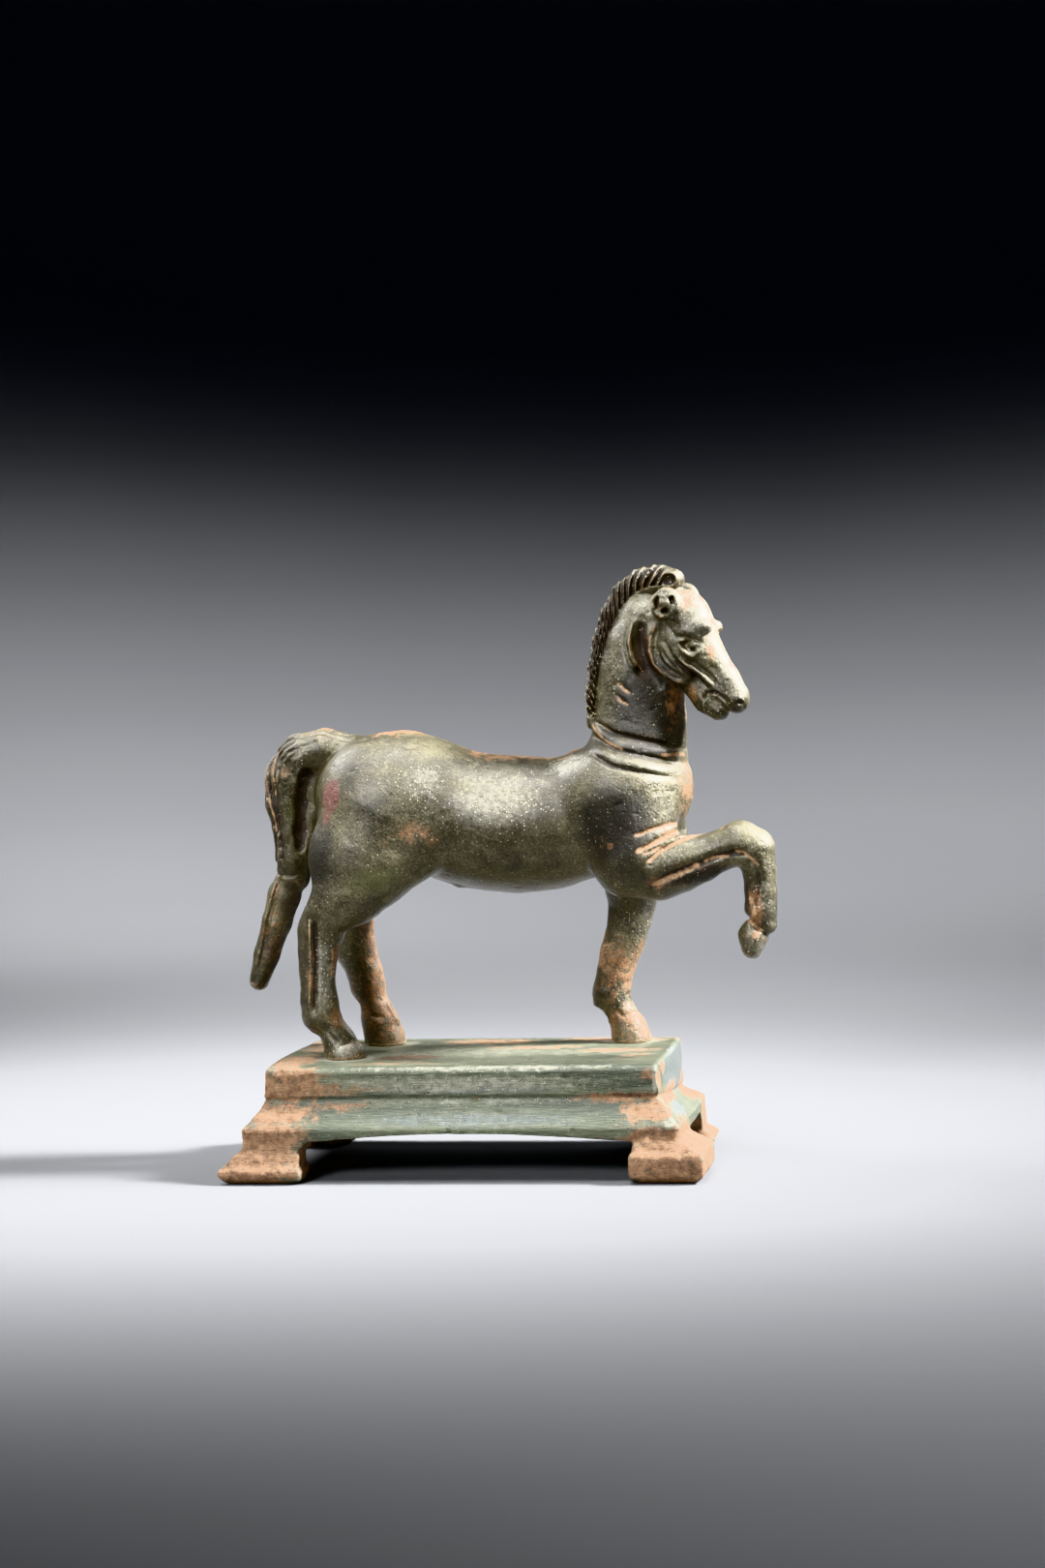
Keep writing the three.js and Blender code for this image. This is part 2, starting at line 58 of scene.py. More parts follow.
# Sizes of the horse: the height it stands at, its middle plane in y, the near and the far legs
# in y, and how softly the trunk's big masses run together.
PLATE_Z = 22.0
MID = 4.0
NEAR = -5.0
FAR = 14.0
SOFT = 5.0
HEAD_AT = (35.5, MID, 104.0)
HEAD_TURN = math.radians(14)

# Limb rows are x, y, z, half depth seen from the side, half width.
BARREL = [
    (-14, MID, 72.2, 13.6, 12.0), (-6.7, MID, 70.7, 12.9, 11.3), (-1.8, MID, 69.0, 12.7, 11.6),
    (4.1, MID, 67.7, 13.1, 12.2), (10, MID, 67.1, 13.2, 12.3), (16, MID, 67.1, 12.6, 12.0),
    (23, MID, 68.2, 11.6, 11.6),
]
RUMP = [(-14, MID, 73, 13.4, 12.6), (-19.5, MID, 73.4, 12.6, 12.6)]
CHEST = [(30.5, MID, 70.5, 14.2, 12.6), (34.2, MID, 73.5, 10.6, 10.6)]
NECK = [
    (33.2, MID, 77, 11.2, 10.6), (34.4, MID, 82.1, 9.3, 8.8), (35.0, MID, 87, 8.8, 7.6),
    (35.1, MID, 92.6, 8.4, 7.0), (35.0, MID, 97, 7.6, 6.6), (35.2, MID, 101.5, 6.4, 6.0),
    (37.2, MID, 106.5, 6.0, 5.2),
]
MANE = [
    (25.3, MID, 86.6, 1.0, 1.5), (25.5, MID, 92.5, 1.4, 1.7), (26.4, MID, 97.8, 1.6, 1.7),
    (28.0, MID, 103.1, 2.1, 1.8), (30.2, MID, 108.0, 2.6, 1.9), (33.0, MID, 111.9, 2.9, 2.0),
    (36.4, MID - 0.5, 114.0, 3.1, 2.1), (39.8, MID - 1.2, 114.4, 3.1, 2.2),
    (42.6, MID - 2, 114.2, 2.4, 2.2),
]
HAUNCH = [
    (-17, -1.5, 70, 12.8, 8.6), (-21.3, -3, 61.6, 10.8, 7.4), (-23.8, -4.6, 55.3, 7.2, 5.6),
    (-26.9, NEAR, 52.0, 5.0, 4.4), (-28.9, NEAR, 49.6, 4.3, 3.7),
]
STIFLE = [(-9, -3.2, 64.5, 7.0, 5.2), (-18, -4.2, 58, 5.5, 4.8), (-24, -4.8, 53.6, 3.9, 4.0)]
NEAR_SHANK = [
    (-28.9, NEAR, 50, 4.4, 3.6), (-29.8, NEAR, 47.4, 4.7, 3.4), (-30.5, NEAR, 43.5, 4.0, 3.0),
    (-30.9, NEAR, 39.8, 3.6, 2.8), (-30.9, NEAR, 36.2, 3.4, 2.8), (-30.7, NEAR, 33.3, 3.7, 3.0),
    (-30.4, NEAR, 30.6, 3.8, 3.2), (-28.4, NEAR, 28.0, 2.8, 2.8), (-27.0, NEAR, 25.4, 3.2, 3.2),
    (-25.8, NEAR, 22.4, 4.0, 3.7), (-25.4, NEAR, 20, 4.2, 3.9),
]
FAR_HAUNCH = [(-20, 9.5, 70.5, 11.6, 8.6), (-26, 11, 62.5, 8.2, 7.4), (-29, 12.6, 55, 4.9, 5.2)]
FAR_SHANK = [
    (-29.6, FAR - 1, 53, 4.8, 4.8), (-28.6, FAR, 47.5, 4.6, 3.8), (-27.7, FAR, 41.2, 4.0, 3.2),
    (-26.1, FAR, 36.8, 3.6, 3.0), (-25.6, FAR, 34.0, 3.6, 3.0), (-24.8, FAR, 31.4, 2.9, 2.9),
    (-23.9, FAR, 28.6, 3.3, 3.2), (-23.2, FAR, 26.3, 3.8, 3.6), (-22.4, FAR, 22.8, 4.1, 3.8),
    (-22.0, FAR, 20, 4.2, 3.9),
]
FAR_FORELEG = [
    (31.5, FAR - 2, 62, 8.6, 6.2), (30.8, FAR - 1, 53.4, 5.6, 4.8), (30.4, FAR, 50.0, 4.7, 4.0),
    (29.7, FAR, 46.7, 4.3, 3.6), (28.7, FAR, 42.7, 4.1, 3.4), (27.5, FAR, 39.8, 3.9, 3.3),
    (26.4, FAR, 35.9, 3.6, 3.2), (25.7, FAR, 32.4, 3.6, 3.2), (26.2, FAR, 29.4, 3.3, 3.1),
    (27.8, FAR, 27.0, 2.9, 3.0), (28.9, FAR, 24.7, 3.4, 3.4), (29.3, FAR, 22.4, 3.9, 3.8),
    (29.4, FAR, 20, 4.1, 3.9),
]
SPUR = [(25.6, FAR, 34.0, 3.2, 2.4), (24.6, FAR, 31.6, 2.8, 2.0), (24.0, FAR, 29.9, 2.3, 1.8)]
SHOULDER = [(31, -2.5, 72, 11.5, 8.4), (34, -3.4, 62.5, 8.8, 7.0)]
RAISED_LEG = [
    (33.5, -4.2, 60.5, 8.4, 6.2), (38.7, NEAR, 58.4, 6.4, 5.0), (42.9, NEAR - 0.4, 59.1, 5.5, 4.4),
    (47.1, NEAR - 0.6, 59.9, 4.4, 3.9), (51.1, NEAR - 0.8, 61.4, 3.8, 3.5),
    (54.9, NEAR - 1, 62.7, 4.2, 3.6), (57.3, NEAR - 1, 61.5, 4.0, 3.6),
    (58.2, NEAR - 1, 57.6, 3.1, 3.1), (58.4, NEAR - 1, 53.4, 3.0, 2.8),
    (58.3, NEAR - 1, 49.8, 3.1, 2.9), (59.3, NEAR - 1, 46.9, 2.1, 2.4),
]
RAISED_HOOF = [
    (57.4, NEAR - 1, 47.4, 2.0, 2.2), (56.6, NEAR - 1, 44.7, 2.9, 3.0),
    (56.3, NEAR - 1, 42.5, 2.1, 2.9),
]
TAIL = [
    (-24, MID, 82.8, 3.6, 3.8), (-30, MID, 83.5, 4.3, 4.6), (-34.9, MID, 82.0, 5.1, 5.0),
    (-37.5, MID, 78.0, 5.3, 4.8), (-37.8, MID, 73.0, 4.9, 4.4), (-37.2, MID, 67.5, 4.2, 4.0),
    (-37.4, MID, 62.0, 3.9, 3.8), (-37.7, MID, 58.0, 3.5, 3.4),
]
TAIL_WEB = [(-31.5, MID, 79, 3.2, 2.4), (-33.4, MID, 71, 3.0, 2.2), (-34.0, MID, 64.4, 1.8, 2.0)]
TAIL_END = [
    (-38.6, MID, 56.8, 3.1, 3.0), (-39.8, MID, 54.0, 3.3, 3.1), (-41.6, MID, 48.6, 3.0, 3.0),
    (-44.1, MID, 42.0, 2.6, 2.6), (-45.9, MID, 36.7, 2.0, 2.3),
]
# The head's own rows: x forward along the face's middle plane, z up, both from HEAD_AT.
FACE = [
    (10.9, 0, -0.1, 5.0, 4.7), (13.5, 0, -5.7, 4.3, 3.9), (16.9, 0, -10.2, 3.6, 3.2),
    (19.2, 0, -12.9, 3.0, 2.9),
]
JAW = [(9.4, 0, -7.6, 2.9, 2.6), (13.4, 0, -13.6, 2.3, 2.3), (16.0, 0, -15.7, 2.0, 2.1)]
THROAT = [
    (3.0, 6.2, 2.6, 1.3, 1.5), (2.1, 6.4, -2.5, 1.5, 1.8), (3.0, 6.0, -7.2, 1.3, 1.7),
    (5.4, 5.2, -10.2, 1.0, 1.4),
]
EAR_NEAR = (7.5, -4.3, 5.4)
EAR_FAR = (8.4, 3.6, 6.6)

# A form is a function that tells how far points lie outside it, in millimetres, under zero inside.
AWAY = 40.0


def egg(p, at, r):
    """An oval body with half sizes r."""
    q = (p - np.float32(at)) / np.float32(r)
    near = np.sqrt((q * q).sum(1))
    steep = np.sqrt(((q / np.float32(r)) ** 2).sum(1))
    return near * (near - 1) / np.maximum(steep, 1e-6)


def link(p, a, b):
    """One tapering oval bone between two limb rows."""
    a, b = np.float32(a), np.float32(b)
    u = b[:3] - a[:3]
    square = float(u @ u)
    t = np.clip((p - a[:3]) @ u / square, 0, 1)
    q = p - a[:3] - t[:, None] * u
    length = math.sqrt(square)
    lean = float(u[1]) / length
    run = q @ u / length
    side = (q[:, 1] - lean * run) / math.sqrt(1 - lean * lean)
    rest = np.sqrt(np.maximum(0, (q * q).sum(1) - side * side))
    deep = a[3] + t * (b[3] - a[3])
    wide = a[4] + t * (b[4] - a[4])
    near = np.sqrt((rest / deep) ** 2 + (side / wide) ** 2)
    steep = np.sqrt((rest / deep ** 2) ** 2 + (side / wide ** 2) ** 2)
    return near * (near - 1) / np.maximum(steep, 1e-6)


def melt(a, b, k):
    """Two forms joined, with a soft fillet of reach k."""
    h = np.maximum(k - np.abs(a - b), 0) / k
    return np.minimum(a, b) - h ** 3 * (k / 6)


def carve(a, b, k):
    """Form a with form b taken out of it, the edge softened over k."""
    return -melt(-a, b, k)


def within(p, low, high):
    """The points that lie in a box, as indices."""
    return np.flatnonzero(((p > np.float32(low)) & (p < np.float32(high))).all(1))


def limb(p, rows, k=1.2, reach=6.0):
    """Tapering oval bones melted end to end, worked out only for the points near them."""
    rows = np.float32(rows)
    pad = rows[:, 3:].max() + reach
    some = within(p, rows[:, :3].min(0) - pad, rows[:, :3].max(0) + pad)
    d = np.full(len(p), AWAY, np.float32)
    if len(some):
        q = p[some]
        out = link(q, rows[0], rows[1])
        for a, b in zip(rows[1:], rows[2:]):
            out = melt(out, link(q, a, b), k)
        d[some] = out
    return d


def mirrored(p):
    return p * np.float32((1, -1, 1)) + np.float32((0, 2 * MID, 0))


def in_head(p):
    q = p - np.float32(HEAD_AT)
    c, s = math.cos(HEAD_TURN), math.sin(HEAD_TURN)
    turned = [c * q[:, 0] - s * q[:, 1], s * q[:, 0] + c * q[:, 1], q[:, 2]]
    return np.stack(turned, 1).astype(np.float32)


def both_sides(h):
    return np.stack([h[:, 0], np.abs(h[:, 1]), h[:, 2]], 1)


def beside(p, line):
    """Distance from a line drawn on the side view, over zero on its left hand, the place along it,
    and its whole length."""
    u, v = p[:, 0], p[:, 2]
    best = np.full(len(u), 1e6, np.float32)
    place = np.zeros(len(u), np.float32)
    signed = np.zeros(len(u), np.float32)
    start = 0.0
    for (a, b), (c, d) in zip(line, line[1:]):
        dx, dy = c - a, d - b
        length = math.hypot(dx, dy)
        t = np.clip(((u - a) * dx + (v - b) * dy) / length ** 2, 0, 1)
        far = np.hypot(u - a - t * dx, v - b - t * dy)
        cross = (dx * (v - b) - dy * (u - a)) / length
        closer = far < best
        best[closer] = far[closer]
        place[closer] = (start + t * length)[closer]
        signed[closer] = np.copysign(far, cross)[closer]
        start += length
    return signed, place, start


def score(d, p, line, depth, width, low=-90.0, high=90.0, fade=1.0):
    """Cuts a line into the form, or raises one where depth is under zero. The line is drawn on the
    side view, x and z, and it marks what lies between low and high in y."""
    xs, zs = zip(*line)
    pad = 3 * width
    some = within(p, (min(xs) - pad, low, min(zs) - pad), (max(xs) + pad, high, max(zs) + pad))
    if not len(some):
        return d
    far, place, length = beside(p[some], line)
    ends = np.clip(np.minimum(place, length - place) / min(fade, length / 2), 0, 1)
    edge = gate(p[some, 1], low, low + 0.8) * gate(-p[some, 1], -high, 0.8 - high)
    d = d.copy()
    d[some] += depth * (0.25 + 0.75 * ends) * edge * np.exp(-((far / width) ** 2))
    return d


GRAIN = np.random.default_rng(7).uniform(-1, 1, (32, 32, 32)).astype(np.float32)


def grain(p, size, shift=0.0):
    """Smooth unevenness of a size in millimetres, from -1 to 1. A shift gives another draw."""
    q = p / np.float32(size) + np.float32((shift, shift * 0.7, shift * 1.3))
    cell = np.floor(q).astype(np.int32)
    f = q - cell
    f = f * f * (3 - 2 * f)
    out = np.zeros(len(p), np.float32)
    for n in range(8):
        bits = (n & 1, (n >> 1) & 1, n >> 2)
        index = [(cell[:, c] + bits[c]) & 31 for c in range(3)]
        weight = np.ones(len(p), np.float32)
        for c in range(3):
            weight *= f[:, c] if bits[c] else 1 - f[:, c]
        out += weight * GRAIN[index[0], index[1], index[2]]
    return out


def gate(value, low, high):
    """A soft step: 0 at low, 1 at high."""
    t = np.clip((value - low) / (high - low), 0, 1)
    return t * t * (3 - 2 * t)


# The horse's form.
def ear(h, at):
    """A squat cup, open to its own side."""
    side = math.copysign(1, at[1])
    cup = egg(h, at, (3.1, 1.6, 3.3))
    return carve(cup, egg(h, (at[0], at[1] + side * 2.9, at[2] + 0.3), (2.4, 1.4, 2.6)), 0.4)


def head(p):
    """Skull, face, cheeks, jaw, muzzle, brows, eyes, cheekbones and ears, with no line cut yet."""
    h = in_head(p)
    both = both_sides(h)
    skull = egg(h, (8.4, 0, 2.0), (6.6, 4.9, 6.6))
    between_cheeks = egg(h, (8.6, 0, -3.6), (4.4, 3.8, 5.0))
    cheeks = egg(both, (8.9, 2.9, -4.1), (5.3, 2.3, 5.9))
    muzzle = egg(h, (19.8, 0, -13.8), (2.4, 2.9, 2.6))
    brows = egg(both, (13.9, 3.0, 0.7), (2.4, 1.7, 1.7))
    sockets = egg(both, (12.6, 5.0, -2.6), (2.3, 1.5, 1.4))
    eyes = egg(both, (12.5, 3.1, -3.1), (1.5, 1.3, 1.2))
    cheekbones = limb(both, [(11, 3.7, -6.6, 0.9, 0.8), (16.6, 2.5, -10.6, 0.7, 0.7)])
    d = melt(skull, limb(h, FACE), 1.5)
    d = melt(d, between_cheeks, 2)
    d = melt(d, cheeks, 1)
    d = melt(d, limb(h, JAW), 1)
    d = melt(d, muzzle, 1)
    d = melt(d, brows, 1)
    d = melt(carve(d, sockets, 0.5), eyes, 0.2)
    d = melt(d, cheekbones, 1)
    return melt(melt(d, ear(h, EAR_NEAR), 0.8), ear(h, EAR_FAR), 0.8)


def throat(p):
    return limb(both_sides(in_head(p)), THROAT)


def neck_bands(p):
    """How strongly the two raised bands at the neck's foot show, and the grooves beside them."""
    slant = (p[:, 2] - 82.1) + 0.26 * (p[:, 0] - 35) - np.maximum(0, 31 - p[:, 0]) * 0.3
    shown = gate(p[:, 0], 25, 29) * (1 - 0.8 * gate(p[:, 0], 40, 43.5))
    folds = sum(np.exp(-(((slant - at) / 0.85) ** 2)) for at in (0, -3.3))
    under = sum(np.exp(-(((slant - at) / 0.5) ** 2)) for at in (-1.6, -4.8, 1.5))
    return folds * shown, under * shown


def trunk(p):
    """Everything but head, mane and tail: what the lines are cut into."""
    near = melt(limb(p, HAUNCH, 2), limb(p, STIFLE, 1), 3)
    d = melt(melt(limb(p, BARREL, 3), limb(p, RUMP, 2), SOFT), limb(p, CHEST, 2), SOFT)
    d = melt(d, np.minimum(near, limb(p, FAR_HAUNCH, 2)), 2)
    d = melt(d, np.minimum(limb(p, SHOULDER, 2), limb(mirrored(p), SHOULDER, 2)), 3)
    folds, under = neck_bands(p)
    d = melt(d, limb(p, NECK, 2) - 0.30 * folds + 0.3 * under, 3)
    return d


def form(p, fine=True):
    """The whole horse. fine=False leaves out the carving, for telling what lies in a recess."""
    d = trunk(p)
    mane = np.float32(MANE)
    mane[:, 4] += 0.5
    d = melt(d, limb(p, mane), 0.8)
    d = melt(carve(d, throat(p), 1.2), carved_head(p) if fine else head(p), 0.8)
    d = melt(d, melt(limb(p, TAIL), limb(p, TAIL_WEB), 0.8), 1)
    d = melt(d, limb(p, TAIL_END), 0.5)
    d = melt(d, limb(p, NEAR_SHANK), 1.5)
    d = melt(d, limb(p, FAR_SHANK), 2)
    d = melt(d, melt(limb(p, FAR_FORELEG), limb(p, SPUR), 0.8), 2)
    d = melt(d, limb(p, RAISED_LEG), 2)
    d = melt(d, limb(p, RAISED_HOOF), 0.7)
    if fine:
        d = carving(d, p)
    return np.maximum(d, PLATE_Z - 0.12 - p[:, 2])


def rounded(line):
    """The same line with its corners cut, three times over, so that it bends evenly."""
    for _ in range(3):
        cut = [line[0]]
        for (a, b), (c, d) in zip(line, line[1:]):
            cut.append((0.75 * a + 0.25 * c, 0.75 * b + 0.25 * d))
            cut.append((0.25 * a + 0.75 * c, 0.25 * b + 0.75 * d))
        line = cut + [line[-1]]
    return line


# The hogged mane: thin blades of bronze stand between deep slanting cuts.
MANE_LINE = rounded([(row[0], row[2]) for row in MANE])
MANE_PITCH = 1.65
MANE_BLADE = 0.34
# Locks down the back of the tail: from groove to groove, how wide a groove is and how deep.
LOCK_PITCH = 1.35
LOCK_GROOVE = 0.36
LOCK_DEPTH = 0.42


def cut_mane(d, p):
    some = within(p, (20, MID - 7, 84), (45, MID + 6, 119))
    q = p[some]
    out, place, length = beside(q, MANE_LINE)
    share = place / length
    slant = np.radians(32 + 22 * gate(share, 0.55, 0.85))
    wander = 0.16 * grain(q * np.float32((0.5, 0, 0.5)), 1.0)
    count = (place - out / np.tan(slant)) / MANE_PITCH + wander
    blade = np.exp(-((np.abs(count - np.round(count)) * MANE_PITCH / MANE_BLADE) ** 2))
    strip = gate(out, -1.2, -0.7) * gate(share, 0.03, 0.08) * (1 - gate(share, 0.93, 0.97))
    deep = 0.3 + 1.1 * gate(np.abs(q[:, 1] - MID + 1.5 * gate(share, 0.7, 1.0)), 0.4, 1.5)
    d = d.copy()
    d[some] += deep * (1 - blade) * strip
    return d


# Lines cut (depth over 0) or raised (under 0) on both sides of the head: depth, width, points.
HEAD_LINES = [
    (0.42, 0.3, [(9.6, -1.3), (10.4, -1.0), (11.7, -1.1), (13.2, -1.8), (14.3, -2.4)]),
    (-0.22, 0.6, [(9.2, -0.2), (11.0, 0.2), (13.2, -0.5), (15.2, -1.8)]),
    (0.4, 1.3, [(4.4, 2.2), (6.6, 1.6), (8.6, 1.2), (10.4, 1.7)]),
    (-0.3, 0.3, [(9.5, -2.1), (10.6, -1.75), (12.1, -1.8), (13.3, -2.4), (14.4, -3.1)]),
    (-0.45, 0.34, [(10, -2.6), (10.8, -3.75), (11.8, -4.7), (12.8, -5.1), (13.7, -4.3),
                   (14.5, -3.4)]),
    (0.4, 0.5, [(9.6, -4.3), (10.6, -5.3), (12, -6.0), (13.4, -5.9)]),
    (-0.36, 0.45, [(9.5, -4.2), (10.2, -5.5), (11.5, -6.6), (13.1, -7.8), (14.6, -9.2),
                   (16.7, -11.4)]),
    (0.34, 0.42, [(10.9, -4.9), (12.1, -6.1), (13.5, -7.0), (15.2, -8.4), (16.5, -10.0),
                  (17.4, -11.4)]),
    (0.65, 0.5, [(9.2, -5.4), (10.6, -7.0), (12.2, -8.5), (13.7, -10.0), (15.2, -11.6)]),
    (-0.55, 0.4, [(5, 1.9), (4.4, 1), (4.1, -0.6), (3.9, -2.4), (4.1, -4.5), (4.9, -6.1),
                  (5.9, -7.6), (7.3, -8.8), (9.0, -9.7), (11, -10.1)]),
    (0.45, 0.38, [(7.0, -1.5), (7.7, -3.2), (8.6, -4.7), (9.6, -6.2), (11.5, -8.1), (13.4, -9.2)]),
    (0.5, 0.36, [(5.2, -2.8), (5.7, -4.4), (6.5, -5.8), (8.1, -7.3), (10.4, -8.8)]),
    (0.35, 0.3, [(6.4, -3.4), (7.2, -5.0), (8.6, -6.6), (10.0, -7.7)]),
    (-0.22, 0.3, [(5.9, -4.0), (6.7, -5.6), (8.2, -7.1), (9.8, -8.3)]),
    (0.28, 0.35, [(6.1, 1.6), (5.5, 0.4), (5.4, -0.7)]),
    (0.3, 0.3, [(8.2, 1.0), (8.6, 0.0), (9.3, -1.2)]),
    (0.8, 0.32, [(13.8, -13.2), (14.6, -12.1), (15.3, -12.0), (16.2, -11.9), (17.1, -12.6),
                  (18.3, -13.5), (19.5, -14.9), (20.7, -16.0)]),
    (-0.45, 0.36, [(14.5, -13.3), (15.5, -12.6), (16.7, -12.6), (18.0, -13.9), (20.3, -15.3)]),
    (0.35, 0.3, [(14.7, -14.6), (15.2, -16.0), (15.7, -16.7)]),
    (0.4, 0.35, [(13.2, -13.6), (12.9, -14.8), (13.4, -16.2)]),
    (-0.5, 0.4, [(14.0, -13.5), (13.6, -14.8), (14.2, -16.4)]),
    (-0.25, 0.35, [(20.3, -13.4), (21.2, -13.3), (21.9, -14.0)]),
    (0.3, 0.5, [(15.5, -6.4), (17.1, -8.4), (18.0, -10.9), (17.6, -12.2)]),
]
# The near ear is a broken cup: raised rims with holes between. The head's own frame again.
EAR_RIMS = [
    (-0.55, 0.42, [(5.2, 7.6), (4.8, 6.0), (5.1, 4.3), (6.2, 3.1), (7.9, 2.8)]),
    (-0.45, 0.34, [(7.3, 7.4), (6.8, 5.9), (7.2, 4.9)]),
    (-0.4, 0.36, [(9.9, 7.1), (10.3, 5.2), (9.5, 3.5)]),
    (-0.3, 0.34, [(5.6, 8.0), (7.4, 8.3), (9.2, 7.9)]),
]
EAR_HOLES = [
    ((6.0, -5.2, 5.8), (0.6, 0.9, 1.2)), ((7.6, -5.2, 4.1), (0.8, 0.9, 0.6)),
    ((8.9, -5.0, 5.9), (0.7, 0.7, 1.0)), ((8.4, -4.6, 7.3), (0.5, 0.6, 0.4)),
]
# On the neck behind the cheek: depth, width, points in the head's own frame.
THROAT_LINES = [
    (-0.28, 0.26, [(0.7, 2.7), (0.3, 0.5), (0.1, -1.9), (0.6, -4.3), (1.6, -6.4), (2.5, -7.9)]),
    (0.36, 0.34, [(-0.1, 2.6), (-0.5, 0.5), (-0.7, -1.9), (-0.2, -4.4), (0.8, -6.7), (1.7, -8.2)]),
    (0.8, 0.9, [(2.2, 2.4), (1.7, -0.8), (1.9, -3.8), (3.1, -6.8), (5.1, -9.2)]),
    (-0.2, 0.3, [(1.6, 1.2), (1.3, -1.2), (1.5, -3.6), (2.4, -6.0)]),
]
# On body and legs: depth, width, lowest and highest y, points on the side view.
BOTH = (-90, 90)
NEAR_SIDE = (-90, MID)
ELBOW_SIDE = (-90, -3)
BODY_LINES = [
    (0.28, 0.4, NEAR_SIDE, [(31.3, 94.7), (32.8, 93.6), (34.1, 92.3)]),
    (0.28, 0.4, NEAR_SIDE, [(31.1, 92.4), (32.2, 91.1), (33.6, 90.1)]),
    (0.3, 1.6, BOTH, [(24.1, 70.4), (26.2, 65.7), (27.5, 61.8), (27.8, 58.1)]),
    (0.22, 1.6, BOTH, [(-2.3, 71.3), (-2.1, 66.6), (-2.5, 62.8), (-3.6, 59.0), (-6.0, 57.9)]),
    (0.6, 0.36, ELBOW_SIDE, [(35.2, 64.9), (37.7, 65.9), (41.5, 66.8), (43.2, 66.5)]),
    (0.75, 0.42, ELBOW_SIDE, [(35.4, 61.9), (38.7, 63.5), (42.0, 65.0), (44.1, 65.8)]),
    (0.7, 0.4, ELBOW_SIDE, [(37.2, 59.6), (39.4, 61.6), (42.4, 63.2), (44.9, 64.1)]),
    (0.45, 0.34, ELBOW_SIDE, [(36.4, 61.2), (38.4, 62.0), (40.3, 62.9)]),
    (0.75, 0.8, (-90, -6.5), [(37, 54.6), (40.8, 56.9), (46.5, 59), (51.3, 60.7), (55.9, 61.2)]),
    (0.45, 0.45, (-90, -6), [(53.1, 61.6), (55.0, 61.2), (56.8, 60.2), (57.7, 58.7)]),
    (0.4, 0.5, (-90, -6), [(58.2, 59.3), (58.7, 55.5), (58.0, 51.8), (56.9, 49.1)]),
    (0.6, 0.5, (-90, 0), [(55.5, 49.1), (57.2, 46.7), (59.0, 45.9)]),
    (0.8, 0.5, (-90, 0), [(-29.9, 50.2), (-30.2, 45), (-30.4, 41.3), (-30.7, 37), (-31.0, 31.5)]),
    (-0.35, 0.34, (-90, 0), [(-31.1, 50), (-31.3, 43.1), (-31.6, 37.6), (-32.1, 32.6)]),
    (0.35, 0.4, (-90, 0), [(-29.4, 28.9), (-27.5, 26.3), (-26.0, 24.8), (-23, 25.6)]),
    (0.3, 0.4, (8, 90), [(26.5, 29.2), (28.2, 27.2), (31.2, 28.1)]),
    (-0.3, 0.3, (6, FAR), [(-21.5, 31.6), (-20.2, 28.9), (-18.5, 25.9), (-17.7, 24.1)]),
    (0.35, 0.4, (6, 90), [(-25.9, 30.2), (-24.2, 28.4), (-21.0, 27.6)]),
]
# On the tail: depth, width, points on the side view.
TAIL_LINES = [
    (0.5, 0.36, [(-37.2, 86.3), (-39.8, 84.8), (-41.5, 82.9), (-42.3, 80.6), (-42.3, 77.8),
                 (-41.5, 74.2), (-40.6, 70.7), (-40.3, 67.5), (-40.7, 63.9), (-40.8, 59.6)]),
    (0.55, 0.38, [(-35.2, 86.6), (-38.1, 84.8), (-39.9, 82.9), (-40.8, 80.5), (-40.7, 77.4),
                  (-40.3, 73.8), (-39.8, 70.2), (-39.5, 67.1)]),
    (0.55, 0.38, [(-34.8, 85.5), (-36.9, 84.3), (-38.4, 82.8), (-39.3, 80.9), (-39.7, 78.1),
                  (-39.4, 74.2), (-39.1, 71.0), (-39.0, 67.8), (-38.8, 63.9), (-38.9, 60.5)]),
    (0.45, 0.36, [(-34.5, 84.1), (-36.6, 83.2), (-37.9, 81.6), (-38.4, 79.7), (-38.4, 76.2)]),
    (0.4, 0.36, [(-34.1, 83.1), (-35.6, 82.3), (-36.8, 80.8), (-37.4, 78.5)]),
    (0.3, 0.34, [(-30.5, 85.2), (-33.6, 84.3), (-35.2, 82.6)]),
    (0.35, 0.32, [(-42, 58.9), (-39.7, 58.6), (-37.7, 58.3), (-34.8, 58.8)]),
    (-0.35, 0.36, [(-40.5, 58.0), (-41.7, 54.1), (-43.4, 48.9), (-44.4, 44.2), (-45.8, 39.5)]),
    (0.35, 0.4, [(-39.7, 57.6), (-40.9, 54.0), (-42.6, 48.8), (-43.7, 44), (-45.0, 39.8)]),
]
# The hollow between the tail and its web: x, z and half depth.
TROUGH = [(-32.5, 78.0, 2.1), (-33.4, 73.0, 2.3), (-34.4, 67.2, 1.8), (-34.9, 63.9, 1.2)]
SHEATH = [(-7.6, MID, 57.6, 0.9, 1.2), (-3, MID, 56.1, 1.2, 1.4), (2.4, MID, 55.1, 0.8, 1.0)]


